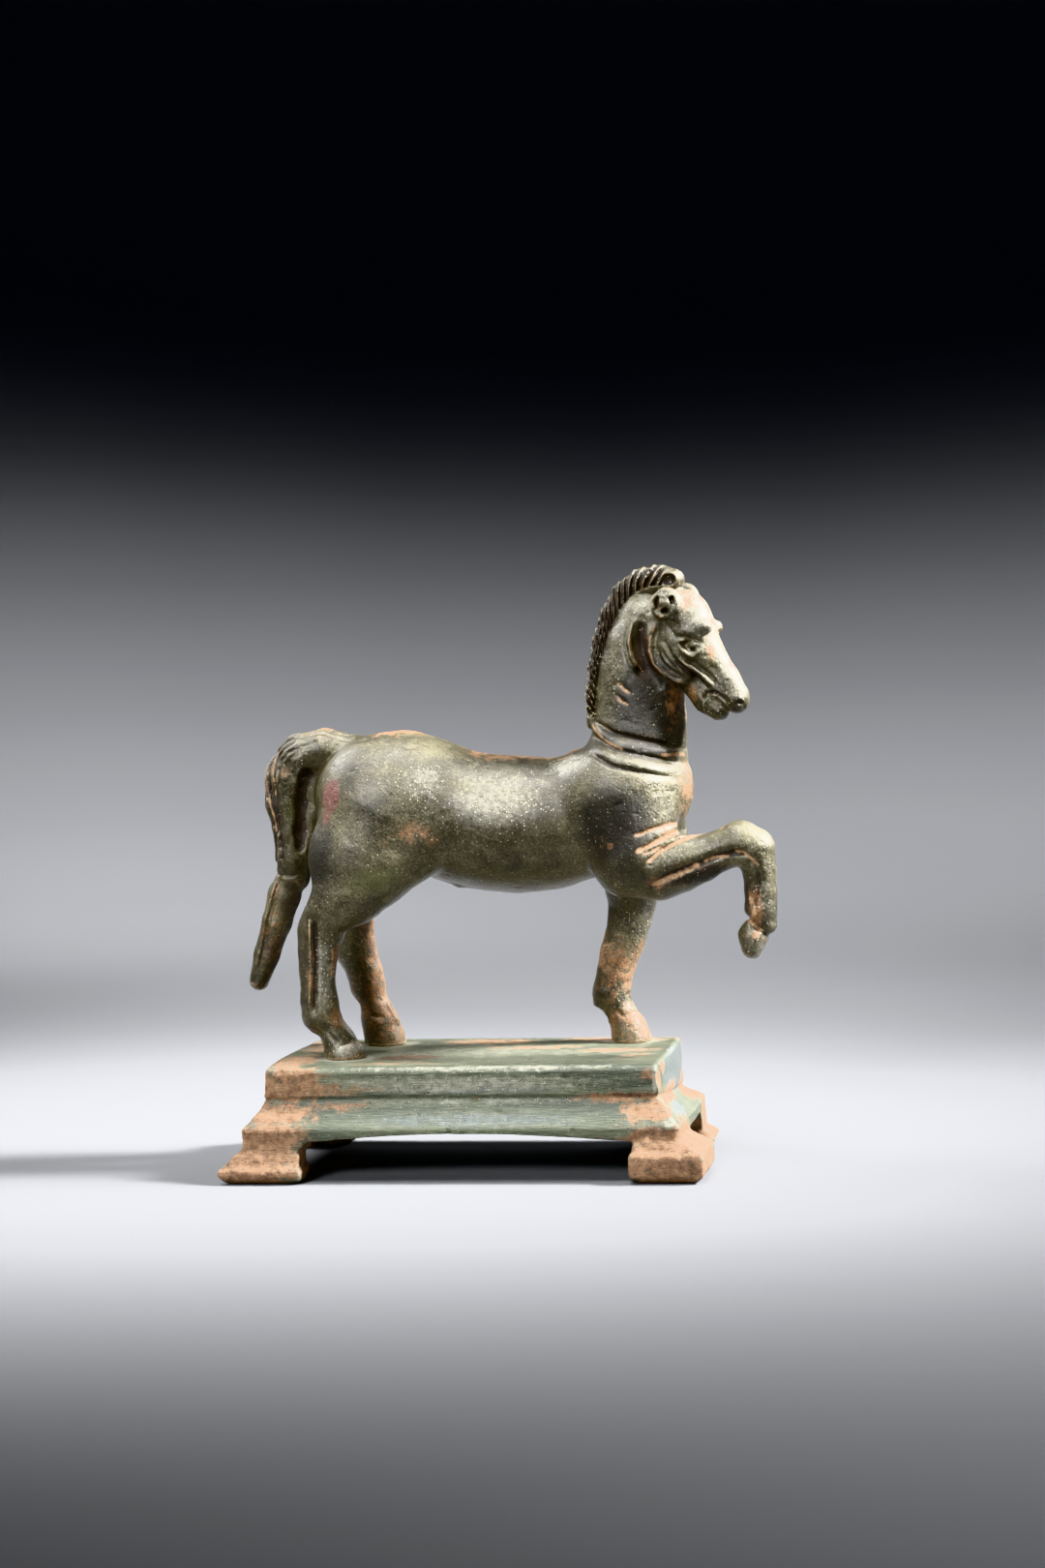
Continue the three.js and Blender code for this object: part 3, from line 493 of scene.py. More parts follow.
def carved_head(p):
    """The head with its lines, pupils, nostrils, small pits and broken near ear."""
    some = within(p, (33, -8, 84), (63, 16, 119))
    d = np.full(len(p), AWAY, np.float32)
    q = p[some]
    h = in_head(q)
    both = both_sides(h)
    out = head(q)
    for depth, width, line in HEAD_LINES:
        out = score(out, both, line, depth, width, low=1.2)
    pupils = egg(both, (12.5, 4.4, -3.6), (0.4, 0.9, 0.4))
    nostrils = egg(both, (21.4, 2.6, -14.4), (0.7, 0.9, 0.55))
    jaw_pits = egg(both, (12.8, 3.0, -11.4), (0.35, 0.8, 0.35))
    out = carve(carve(carve(out, pupils, 0.15), nostrils, 0.25), jaw_pits, 0.15)
    for depth, width, line in EAR_RIMS:
        out = score(out, h, line, depth, width, high=-2.5)
    for at, size in EAR_HOLES:
        out = carve(out, egg(h, at, size), 0.2)
    inside_ear = np.exp(-(((h[:, 0] - 7) / 2.2) ** 2 + ((h[:, 2] - 5.8) / 3) ** 2))
    inside_ear = inside_ear * gate(np.abs(h[:, 1]), 2, 3)
    d[some] = out + 0.3 * inside_ear * grain(h, 0.8, 3)
    return d


def carving(d, p):
    """All that is cut into the horse behind its head, then the roughness of its cast skin."""
    for depth, width, (low, high), line in BODY_LINES:
        d = score(d, p, line, depth, width, low, high)
    for depth, width, line in TAIL_LINES:
        d = score(d, p, line, depth, width)
    for side in (-1, 1):
        hollow = [(x, MID + side * 4.6, z, deep, 2.5) for x, z, deep in TROUGH]
        d = carve(d, limb(p, hollow, 1), 0.5)
    folds, under = neck_bands(p)
    d = d + gate(p[:, 2], 74, 77) * gate(-p[:, 2], -89, -86) * (0.5 * under - 0.25 * folds)
    d = melt(d, limb(p, SHEATH), 1.0)
    under_spur = egg(p, (21.8, FAR, 26.6), (3.2, 6, 2.6))
    behind_fetlock = egg(p, (-28.6, FAR, 29.4), (1.6, 5, 2.0))
    d = carve(carve(d, under_spur, 0.15), behind_fetlock, 0.5)
    d = tail_back(d, p)
    d = cut_mane(d, p)
    some = within(p, (33, -8, 90), (46, 16, 110))
    h = both_sides(in_head(p[some]))
    throat_part = d[some]
    for depth, width, line in THROAT_LINES:
        throat_part = score(throat_part, h, line, depth, width, low=3.0)
    d = d.copy()
    d[some] = throat_part
    some = within(p, (34, -6, 108), (50, 10, 119))
    pit_in_crest = egg(in_head(p[some]), (7.4, -2.9, 10.3), (1.5, 1.5, 1.3))
    d[some] = carve(d[some], pit_in_crest, 0.4)
    shanks, tail, crest = gate(p[:, 2], 45, 30), gate(-p[:, 0], 30, 34), gate(p[:, 2], 100, 106)
    rough = 0.3 + 0.7 * shanks + 0.7 * tail + 0.5 * crest
    d = d + 0.10 * grain(p, 6.5) + 0.045 * grain(p, 2.3, 5) + 0.05 * rough * grain(p, 1.0, 9)
    return d + 0.16 * gate(grain(p, 1.0, 13), 0.6, 0.85)


def tail_back(d, p):
    """Grooves between the locks down the back of the tail."""
    some = within(p, (-47, MID - 6, 57), (-24, MID + 6, 90))
    q = p[some]
    out, place, _ = beside(q, [(row[0], row[2]) for row in TAIL])
    wave = 0.5 * np.sin(place * 0.35) + 0.3 * grain(q, 6, 21)
    lane = (q[:, 1] - MID + wave) / LOCK_PITCH
    groove = np.exp(-(((lane - np.round(lane)) * LOCK_PITCH / LOCK_GROOVE) ** 2))
    facing = gate(-out, 0.8, 2.6) * (1 - gate(np.abs(q[:, 1] - MID), 2.6, 3.6))
    d = d.copy()
    d[some] += LOCK_DEPTH * groove * facing
    return d


# Skin: from a form to a mesh.
def lattice(start, *spans):
    """Places of lattice planes along one axis. A span is where it ends and the step up to there."""
    out = [start]
    for end, step in spans:
        step *= 1
        n = round((end - out[-1]) / step)
        out += list(np.linspace(out[-1], end, n + 1)[1:])
    return np.float32(out)


def spread(values, coarse, fine, axis):
    """Carries values from coarse lattice lines to fine ones, along one axis."""
    i = np.clip(np.searchsorted(coarse, fine, side="right") - 1, 0, len(coarse) - 2)
    t = (fine - coarse[i]) / (coarse[i + 1] - coarse[i])
    shape = [1, 1, 1]
    shape[axis] = len(fine)
    t = t.reshape(shape).astype(np.float32)
    return np.take(values, i, axis) * (1 - t) + np.take(values, i + 1, axis) * t


def corners_of(X, Y, Z):
    return np.stack(np.meshgrid(X, Y, Z, indexing="ij"), -1).reshape(-1, 3).astype(np.float32)


def pinched_codes():
    """Which of a cell's 256 corner patterns touch only across a diagonal."""
    def pieces(members):
        left, count = set(members), 0
        while left:
            count += 1
            todo = [left.pop()]
            while todo:
                n = todo.pop()
                for m in (n ^ 1, n ^ 2, n ^ 4):
                    if m in left:
                        left.remove(m)
                        todo.append(m)
        return count

    bad = np.zeros(256, bool)
    for code in range(256):
        inside = [n for n in range(8) if code >> n & 1]
        outside = [n for n in range(8) if not code >> n & 1]
        crossed = False
        for axis in (1, 2, 4):
            u, v = [bit for bit in (1, 2, 4) if bit != axis]
            for n in (0, axis):
                a, b, c, e = [bool(code >> m & 1) for m in (n, n | u, n | u | v, n | v)]
                crossed |= a == c and b == e and a != b
        bad[code] = crossed or pieces(inside) > 1 or pieces(outside) > 1
    return bad


def cell_codes(inside):
    """Each lattice cell's eight corners as bits, set where the corner lies inside."""
    nx, ny, nz = (n - 1 for n in inside.shape)
    code = np.zeros((nx, ny, nz), np.uint8)
    for n in range(8):
        i, j, k = n & 1, (n >> 1) & 1, n >> 2
        code |= inside[i:i + nx, j:j + ny, k:k + nz].astype(np.uint8) << n
    return code


def skin(shape_of, X, Y, Z, band=1.5):
    """Points and four-sided faces on the zero surface of a form, one point to a lattice cell."""
    step = 4
    rough = [line[sorted(set(range(0, len(line), step)) | {len(line) - 1})] for line in (X, Y, Z)]
    value = shape_of(corners_of(*rough)).reshape([len(line) for line in rough])
    for axis, (coarse, fine) in enumerate(zip(rough, (X, Y, Z))):
        value = spread(value, coarse, fine, axis)
    near = np.argwhere(np.abs(value) < band)
    points = np.stack([X[near[:, 0]], Y[near[:, 1]], Z[near[:, 2]]], 1)
    value[tuple(near.T)] = shape_of(points)
    bad = pinched_codes()
    for _ in range(12):
        cells = np.argwhere(bad[cell_codes(value < 0)])
        if not len(cells):
            break
        offsets = np.array([(n & 1, (n >> 1) & 1, n >> 2) for n in range(8)])
        ring = cells[:, None, :] + offsets[None]
        held = value[ring[..., 0], ring[..., 1], ring[..., 2]]
        pick = np.where(held >= 0, held, 1e6).argmin(1)
        chosen = ring[np.arange(len(cells)), pick]
        value[tuple(chosen.T)] = -0.02
    inside = value < 0
    code = cell_codes(inside)
    active = np.argwhere((code > 0) & (code < 255))
    number = np.full(code.shape, -1, np.int32)
    number[tuple(active.T)] = np.arange(len(active))
    total = np.zeros((len(active), 3), np.float32)
    count = np.zeros(len(active), np.float32)
    lines = (X, Y, Z)
    for n in range(8):
        for axis in range(3):
            if n >> axis & 1:
                continue
            a = active + np.array((n & 1, (n >> 1) & 1, n >> 2))
            b = a.copy()
            b[:, axis] += 1
            va, vb = value[tuple(a.T)], value[tuple(b.T)]
            hit = (va < 0) != (vb < 0)
            t = np.where(hit, va / np.where(hit, va - vb, 1), 0)
            for c in range(3):
                here, there = lines[c][a[:, c]], lines[c][b[:, c]]
                total[:, c] += np.where(hit, here + (there - here) * t, 0)
            count += hit
    verts = total / count[:, None]
    faces = []
    for axis in range(3):
        u, v = (axis + 1) % 3, (axis + 2) % 3
        low = [1, 1, 1]
        low[axis] = 0
        window = tuple(slice(low[c], inside.shape[c] - 1) for c in range(3))
        ahead = tuple(
            slice(low[c] + (c == axis), inside.shape[c] - 1 + (c == axis)) for c in range(3))
        a, b = inside[window], inside[ahead]
        at = np.argwhere(a != b) + np.array(low)
        solid_first = inside[tuple(at.T)]

        def cell(m, n):
            shifted = at.copy()
            shifted[:, u] -= m
            shifted[:, v] -= n
            return number[tuple(shifted.T)]

        quad = np.stack([cell(0, 0), cell(1, 0), cell(1, 1), cell(0, 1)], 1)
        quad[~solid_first] = quad[~solid_first][:, ::-1]
        faces.append(quad)
    return verts, np.concatenate(faces)


def in_row(points):
    """Millimetres from the plinth's middle to metres in the row frame."""
    return points * MM + np.array(ORIGIN)


def mesh_piece(name, points, faces):
    mesh = bpy.data.meshes.new(name)
    mesh.from_pydata(in_row(points).tolist(), [], faces.tolist())
    mesh.validate()
    piece = bpy.data.objects.new(name, mesh)
    bpy.context.scene.collection.objects.link(piece)
    return piece


def only(piece):
    bpy.ops.object.select_all(action="DESELECT")
    piece.select_set(True)
    bpy.context.view_layer.objects.active = piece


def apply(piece, kind, **settings):
    """Adds a modifier, sets it and applies it."""
    only(piece)
    modifier = piece.modifiers.new(kind.lower(), kind)
    for key, value in settings.items():
        setattr(modifier, key, value)
    bpy.ops.object.modifier_apply(modifier=modifier.name)


def places(mesh):
    flat = np.empty(len(mesh.vertices) * 3, np.float32)
    mesh.vertices.foreach_get("co", flat)
    return flat.reshape(-1, 3)


def in_mm(mesh):
    return ((places(mesh) - np.float32(ORIGIN)) / MM).astype(np.float32)


def record_mask(mesh, name, values):
    layer = mesh.attributes.new(name, "FLOAT", "POINT")
    layer.data.foreach_set("value", np.float32(values))


HORSE_FACES = 190000  # triangles kept


def cast_horse():
    """The horse's form as a closed mesh, from a lattice that is finer at neck and head."""
    X = lattice(-52, (22, 0.36), (64, 0.26))
    Y = lattice(-14, (22, 0.3))
    Z = lattice(20, (76, 0.36), (119.6, 0.26))
    points, faces = skin(form, X, Y, Z)
    piece = mesh_piece("bronze_horse", points, faces)
    only(piece)
    bpy.ops.object.mode_set(mode="EDIT")
    bpy.ops.mesh.select_all(action="SELECT")
    bpy.ops.mesh.normals_make_consistent(inside=False)
    bpy.ops.object.mode_set(mode="OBJECT")
    if 2 * len(faces) > HORSE_FACES:
        apply(piece, "DECIMATE", ratio=HORSE_FACES / (2 * len(faces)))
    piece.data.shade_smooth()
    return piece


# The plinth. A ring is z, half length, half width.
BODY_RINGS = [
    (8.0, 42.4, 21.1), (8.5, 42.8, 21.5), (10.5, 42.8, 21.5), (11.0, 42.3, 21.1),
    (12.4, 41.2, 20.1), (14.0, 39.8, 18.9), (15.5, 38.9, 18.3), (16.0, 38.4, 17.9),
    (16.4, 38.9, 18.4), (21.0, 38.6, 18.4), (21.7, 38.4, 18.0), (22.0, 37.9, 17.2),
]
HOLLOW_RINGS = [(-1, 38.6, 15.8), (6, 38.2, 15.2), (17.4, 34.2, 13.6)]
# Feet: side of the middle in x and y, height of the pad, height where the neck starts, where the
# pad starts in x and y, and where it ends in x and y.
FEET = [
    (-1, -1, 3.1, 6.4, 30.9, 6, 47.4, 23.4), (1, -1, 5.6, 7.8, 33.2, 6, 47.3, 23.4),
    (-1, 1, 3.0, 5.6, 31.5, 11.5, 46.0, 22.6), (1, 1, 2.4, 4.2, 32.3, 11.5, 45.2, 22.6),
]
# The casting isn't quite square: its back edge runs out toward the tail end, and the step sinks
# along the head end toward the back. Sinking is set by height: heights, and how far.
BACK_OUT, BACK_SKEW = 2.6, 0.03
SINK = ((0, 8, 10.9, 15.6, 17, 21, 22), (0, 0.5, 1.1, 3.8, 3.8, 0.3, 0))
ARCH_RISE = 1.5


def draw_up(name, rings):
    """A block drawn upwards: its top face is extruded and scaled from ring to ring. A ring is z and
    the lowest and highest x and y."""
    z, x0, x1, y0, y1 = rings[0]
    bpy.ops.object.select_all(action="DESELECT")
    bpy.ops.mesh.primitive_plane_add(size=1, location=((x0 + x1) / 2, (y0 + y1) / 2, z))
    piece = bpy.context.object
    piece.name = name
    piece.scale = (x1 - x0, y1 - y0, 1)
    bpy.ops.object.transform_apply(location=True, rotation=True, scale=True)
    bpy.ops.object.mode_set(mode="EDIT")
    bpy.ops.mesh.select_all(action="SELECT")
    for (z, x0, x1, y0, y1), (zn, a0, a1, b0, b1) in zip(rings, rings[1:]):
        middle = ((x0 + x1) / 2, (y0 + y1) / 2, zn)
        bpy.ops.mesh.extrude_region_move(TRANSFORM_OT_translate={"value": (0, 0, zn - z)})
        bpy.ops.transform.resize(
            value=((a1 - a0) / (x1 - x0), (b1 - b0) / (y1 - y0), 1), center_override=middle)
        bpy.ops.transform.translate(value=((a0 + a1 - x0 - x1) / 2, (b0 + b1 - y0 - y1) / 2, 0))
    bpy.ops.mesh.select_all(action="SELECT")
    bpy.ops.mesh.normals_make_consistent(inside=False)
    bpy.ops.object.mode_set(mode="OBJECT")
    return piece


def centred(rings):
    return [(z, -x, x, -y, y) for z, x, y in rings]


def foot_rings(sx, sy, pad, neck, in_x, in_y, out_x, out_y):
    """A foot from its sole up: chamfer, pad, neck, and a flare that runs into the body."""
    rings = [
        (0, in_x + 1.4, out_x - 2, in_y + 1.2, out_y - 2),
        (0.5, in_x + 0.5, out_x - 0.9, in_y + 0.4, out_y - 0.9),
        (1.5, in_x, out_x, in_y, out_y),
        (pad - 0.4, in_x, out_x, in_y, out_y),
        (pad + 0.2, in_x + 0.5, out_x - 0.6, in_y + 0.5, out_y - 0.6),
        (neck, in_x + 0.6, 43.0, in_y + 1.2, 21.6),
        (8.1, in_x - 1.1, 42.8, in_y - 0.6, 21.4),
        (8.9, in_x - 2.9, 42.6, in_y - 2.4, 21.2),
    ]
    out = []
    for z, xi, xo, yi, yo in rings:
        x0, x1 = (xi, xo) if sx > 0 else (-xo, -xi)
        y0, y1 = (yi, yo) if sy > 0 else (-yo, -yi)
        out.append((z, x0, x1, y0, y1))
    return out


def combine(piece, other, operation):
    apply(piece, "BOOLEAN", object=other, operation=operation, solver="EXACT")
    bpy.data.objects.remove(other)


def arch_cutter():
    """A bar across the long sides whose top rises in the middle."""
    bpy.ops.object.select_all(action="DESELECT")
    bpy.ops.mesh.primitive_cube_add(size=1, location=(0, 0, 7))
    bar = bpy.context.object
    bar.scale = (60, 60, 2)
    bpy.ops.object.transform_apply(location=True, rotation=True, scale=True)
    bpy.ops.object.mode_set(mode="EDIT")
    bpy.ops.mesh.select_all(action="SELECT")
    bpy.ops.mesh.subdivide(number_cuts=15)
    bpy.ops.object.mode_set(mode="OBJECT")
    for vertex in bar.data.vertices:
        if vertex.co.z > 7.99:
            vertex.co.z = 7.9 + ARCH_RISE * (1 - (vertex.co.x / 30) ** 2)
    return bar


def part_way(value, low, high):
    return np.clip((value - low) / (high - low), 0, 1)


def uneven(p):
    """Where points of an exactly square plinth lie on the real one, whose ends also bow out."""
    x, y, z = p.T.copy()
    share = part_way(x, 20, 38) * part_way(y, -18, 20)
    bow = 1 - part_way(np.abs(y - 1), 0, 19.5) ** 2
    p[:, 0] = x + 1.3 * bow * (-part_way(-x, 20, 38) + 0.35 * part_way(x, 20, 38))
    p[:, 1] = y + part_way(y, 0, 15) * (BACK_OUT - BACK_SKEW * x)
    p[:, 2] = z - share * np.interp(z, *SINK)
    return p


def weather_plinth(mesh):
    """Uneven cast faces, nicked edges, and rough crust where soil has stuck."""
    p = uneven(places(mesh))
    mesh.vertices.foreach_set("co", p.ravel())
    mesh.update()
    normals = np.empty(len(mesh.vertices) * 3, np.float32)
    mesh.vertices.foreach_get("normal", normals)
    crust = gate(patch_strength(p, PLINTH_PATCHES["earth"]), 0.35, 0.8)
    out = 0.12 * grain(p, 9, 31) + 0.05 * grain(p, 3.2, 33)
    out += (0.02 + 0.16 * crust) * grain(p, 1.4, 35)
    out += 0.09 * crust * grain(p, 0.7, 37) - 0.25 * gate(grain(p, 1.6, 39), 0.62, 0.85)
    out[p[:, 2] < 0.6] = 0
    p = p + normals.reshape(-1, 3) * out[:, None]
    p[:, 2] = np.clip(p[:, 2], 0, PLATE_Z)
    mesh.vertices.foreach_set("co", p.ravel())
    mesh.update()


def cast_plinth():
    piece = draw_up("bronze_plinth", centred(BODY_RINGS))
    combine(piece, arch_cutter(), "DIFFERENCE")
    for foot in FEET:
        combine(piece, draw_up("foot", foot_rings(*foot)), "UNION")
    combine(piece, draw_up("hollow", centred(HOLLOW_RINGS)), "DIFFERENCE")
    apply(piece, "REMESH", mode="VOXEL", voxel_size=0.4)
    apply(piece, "SMOOTH", factor=0.5, iterations=2)
    weather_plinth(piece.data)
    piece.data.transform(Matrix.Translation(ORIGIN) @ Matrix.Scale(MM, 4))
    piece.data.shade_smooth()
    return piece


# Where each finish, painted shade and painted highlight lies. A patch is its middle in millimetres,
# its spread along x, y and z, and its strength.
HORSE_PATCHES = {
    "earth": [
        ((-14, MID, 87), (10, 7, 1.8), 1.0), ((-28, MID, 88.5), (9, 7, 1.5), 1.0),
        ((-24, -5, 84.4), (2, 3, 1.5), 1.1), ((-35.4, MID, 72), (2.6, 7, 9), 0.6),
        ((-38.5, -2, 84), (3, 5, 3), 0.5), ((-37.2, -2, 79.5), (1.6, 3, 2.2), 0.9),
        ((-29, -4, 84.6), (2.2, 3, 1.2), 0.7), ((-40.6, 0, 55), (2, 5, 6), 0.6),
        ((6, MID, 81), (18, 6, 2.4), 1.0), ((22, MID, 80.5), (8, 6, 2.4), 0.8),
        ((-30, MID, 87.5), (7, 5, 2), 0.6), ((24, MID, 82), (6, 7, 3), 0.3),
        ((44, 1, 73), (2.6, 6, 9), 0.75), ((42, 4, 90), (3.5, 7, 8), 0.9),
        ((42, -8, 65), (4, 4, 2.5), 0.5), ((29, -8, 63.6), (3.5, 4, 1.6), 0.6),
        ((38.5, -10, 55.6), (2.4, 2.5, 1.8), 1.0), ((47, -10.5, 58.8), (6, 2, 1.5), 0.75),
        ((54, -10, 61), (3, 2, 1.2), 0.7), ((57.6, -9, 50), (1.6, 3, 6.5), 0.95),
        ((57, -6, 44), (3, 4, 3), 0.6), ((27.5, FAR, 38), (7, 7, 9), 0.95),
        ((29, FAR, 25), (7, 6, 6), 1.0), ((-22, FAR, 34), (8, 6, 22), 0.95),
        ((-26.6, NEAR, 41), (1.5, 4, 9), 0.85), ((-27, NEAR, 30), (4, 4, 4.5), 0.75),
        ((-25, NEAR, 24), (5, 5, 2.6), 0.55), ((-31.4, -8, 40), (1.2, 3, 12), 0.6),
        ((-38, MID, 66), (4, 7, 12), 0.25), ((-42, MID, 47), (5, 7, 14), 0.55),
        ((-41.5, MID, 79), (2.5, 6, 7), 0.6), ((-9, -8, 66.5), (6, 4, 3.0), 0.75),
        ((-15, -8, 64), (4, 4, 2.4), 0.55), ((-4, MID, 56.5), (12, 7, 2), 0.35),
        ((49, 2, 103), (3, 6, 8), 0.9), ((53, 1.5, 95), (3, 5, 6), 0.85),
        ((50, -3, 99.5), (1.4, 3, 3), 0.8), ((38, 2, 114), (6, 4, 3), 0.5),
        ((46, 0, 110), (4, 5, 4), 0.8), ((43, 2, 92), (1.6, 4, 5), 0.7),
        ((49.6, -1, 96.5), (1.2, 3, 3), 0.8), ((42, 0, 110), (4, 5, 5), 0.5),
        ((42.5, -2, 114.2), (1.6, 2, 1.6), 1.0), ((46.6, -1, 92), (2.2, 4, 2.2), 0.7),
        ((37.5, -2, 112), (4, 3, 3), 0.5), ((28, -2, 87), (3, 6, 3), 0.35),
        ((42, -4, 82), (2, 5, 3), 0.4),
    ],
    # Dark brown soil, and painted shade on the neck under the head, in the tail's trough and below
    # the raised foreleg.
    "brown": [
        ((-34, MID, 71), (3, 7, 9), 0.6), ((-38, MID, 52), (3, 6, 9), 0.8),
        ((-42, MID, 42), (4, 6, 8), 0.8), ((-24, FAR, 46), (6, 5, 9), 0.8),
        ((42, MID, 92), (3, 7, 5), 0.4), ((36.9, -1.5, 100), (1.9, 4, 7), 1.0),
        ((42, -2, 92), (2, 5, 6), 0.6), ((56.6, -8, 52), (1.6, 3, 4), 0.8),
        ((49, -9, 58.6), (4, 2, 1.4), 0.7), ((34, -9, 66), (5, 4, 5), 0.5),
        ((-31, NEAR, 34), (2, 5, 5), 0.5),
    ],
    # Pale salts, and painted highlights on the withers, the rump and the face's front.
    "pale": [
        ((-7, -8, 76.5), (6, 6, 4.5), 0.8), ((-6, -8, 70), (6, 5, 6), 0.4),
        ((7, -8, 72), (12, 6, 7), 0.85), ((22, -5, 78), (8, 6, 5), 0.35),
        ((26, -6, 71), (6, 4, 6), 0.3), ((-35, 0, 79), (3, 4, 4), 0.6),
        ((45, -1, 110), (6, 6, 4), 0.9), ((36, -2, 109), (5, 5, 4), 0.7),
        ((49, 0, 104), (4, 6, 6), 1.0), ((53, 0, 95), (3, 5, 6), 0.9),
        ((31, -2, 98), (3, 4, 9), 0.25), ((36.8, -6, 109.5), (2.6, 3, 3), 0.9),
        ((20.5, -5, 79.6), (5, 6, 3.2), 1.1), ((32, FAR, 49), (4, 5, 8), 0.7),
        ((58.6, -8, 52), (2, 4, 7), 0.6), ((57, -6, 43.5), (3, 4, 3.5), 0.9),
        ((-29, -8, 39), (3, 4, 10), 0.9), ((-24.5, -8, 24), (4, 4, 2.4), 1.0),
        ((50.5, -3, 91.5), (4, 4, 4), 0.8), ((-20, FAR, 40), (3, 5, 8), 0.4),
    ],
    # Green patina, and a painted reflection of the pale floor on the belly and below the raised
    # foreleg.
    "green": [
        ((-18, -9, 57.5), (9, 4, 3.5), 1.0), ((-25, -9, 63), (4, 4, 8), 0.5),
        ((3, -6, 58), (14, 6, 3), 0.5), ((-36.5, 1, 72), (1.8, 4, 5), 0.8),
        ((-34, 1, 84), (3, 4, 2), 0.4), ((45, -9, 59), (8, 2, 3), 0.3),
    ],
    # Dark patina, and painted shade on the shoulder, the thigh, the belly, the neck under the head
    # and below the raised foreleg.
    "dark": [
        ((31, -8, 67.5), (9, 7, 10), 1.1), ((37.5, -3, 90), (7, 7, 11), 1.4),
        ((41, -4, 97), (4.5, 5, 5.5), 0.6), ((37, -4, 81.5), (7.5, 7, 3.4), 1.0),
        ((30.5, -4, 84.6), (4, 6, 2.8), 0.9), ((46, -9, 62.6), (8, 4, 2.2), 0.5),
        ((-28, -6, 62), (5, 7, 11), 0.9), ((46, -9, 57), (11, 4, 2.6), 0.9),
        ((12, -6, 60), (16, 8, 4), 0.6), ((-42, MID, 48), (5, 6, 13), 0.4),
        ((-10, -8, 62), (8, 6, 5), 0.5),
    ],
    "gloss": [
        ((-5, -8, 78), (5, 5, 6), 1.0), ((38, -6, 76), (4, 5, 5), 0.9),
        ((-20, -9, 60), (10, 4, 6), 0.8), ((8, -4, 57), (16, 7, 4), 0.9),
        ((50, -9, 61), (8, 4, 4), 0.7), ((-25, -8, 24), (4, 5, 3), 1.0),
        ((54, -1, 91), (3, 4, 3), 0.8), ((32, -9, 66), (7, 5, 7), 0.9),
        ((20, -5, 79.6), (4, 6, 3), 0.9), ((58, -9, 58), (3, 4, 7), 0.6),
        ((-19, 11, 25), (4, 4, 3), 0.8), ((-31, -7, 42), (3, 4, 9), 0.6),
    ],
    "purple": [
        ((-25.8, -6, 74.2), (2.5, 4, 3.8), 1.3), ((-27, -6, 70), (1.4, 4, 2.4), 0.8),
        ((-24.9, -9, 58), (0.7, 2, 0.9), 1.0),
    ],
}
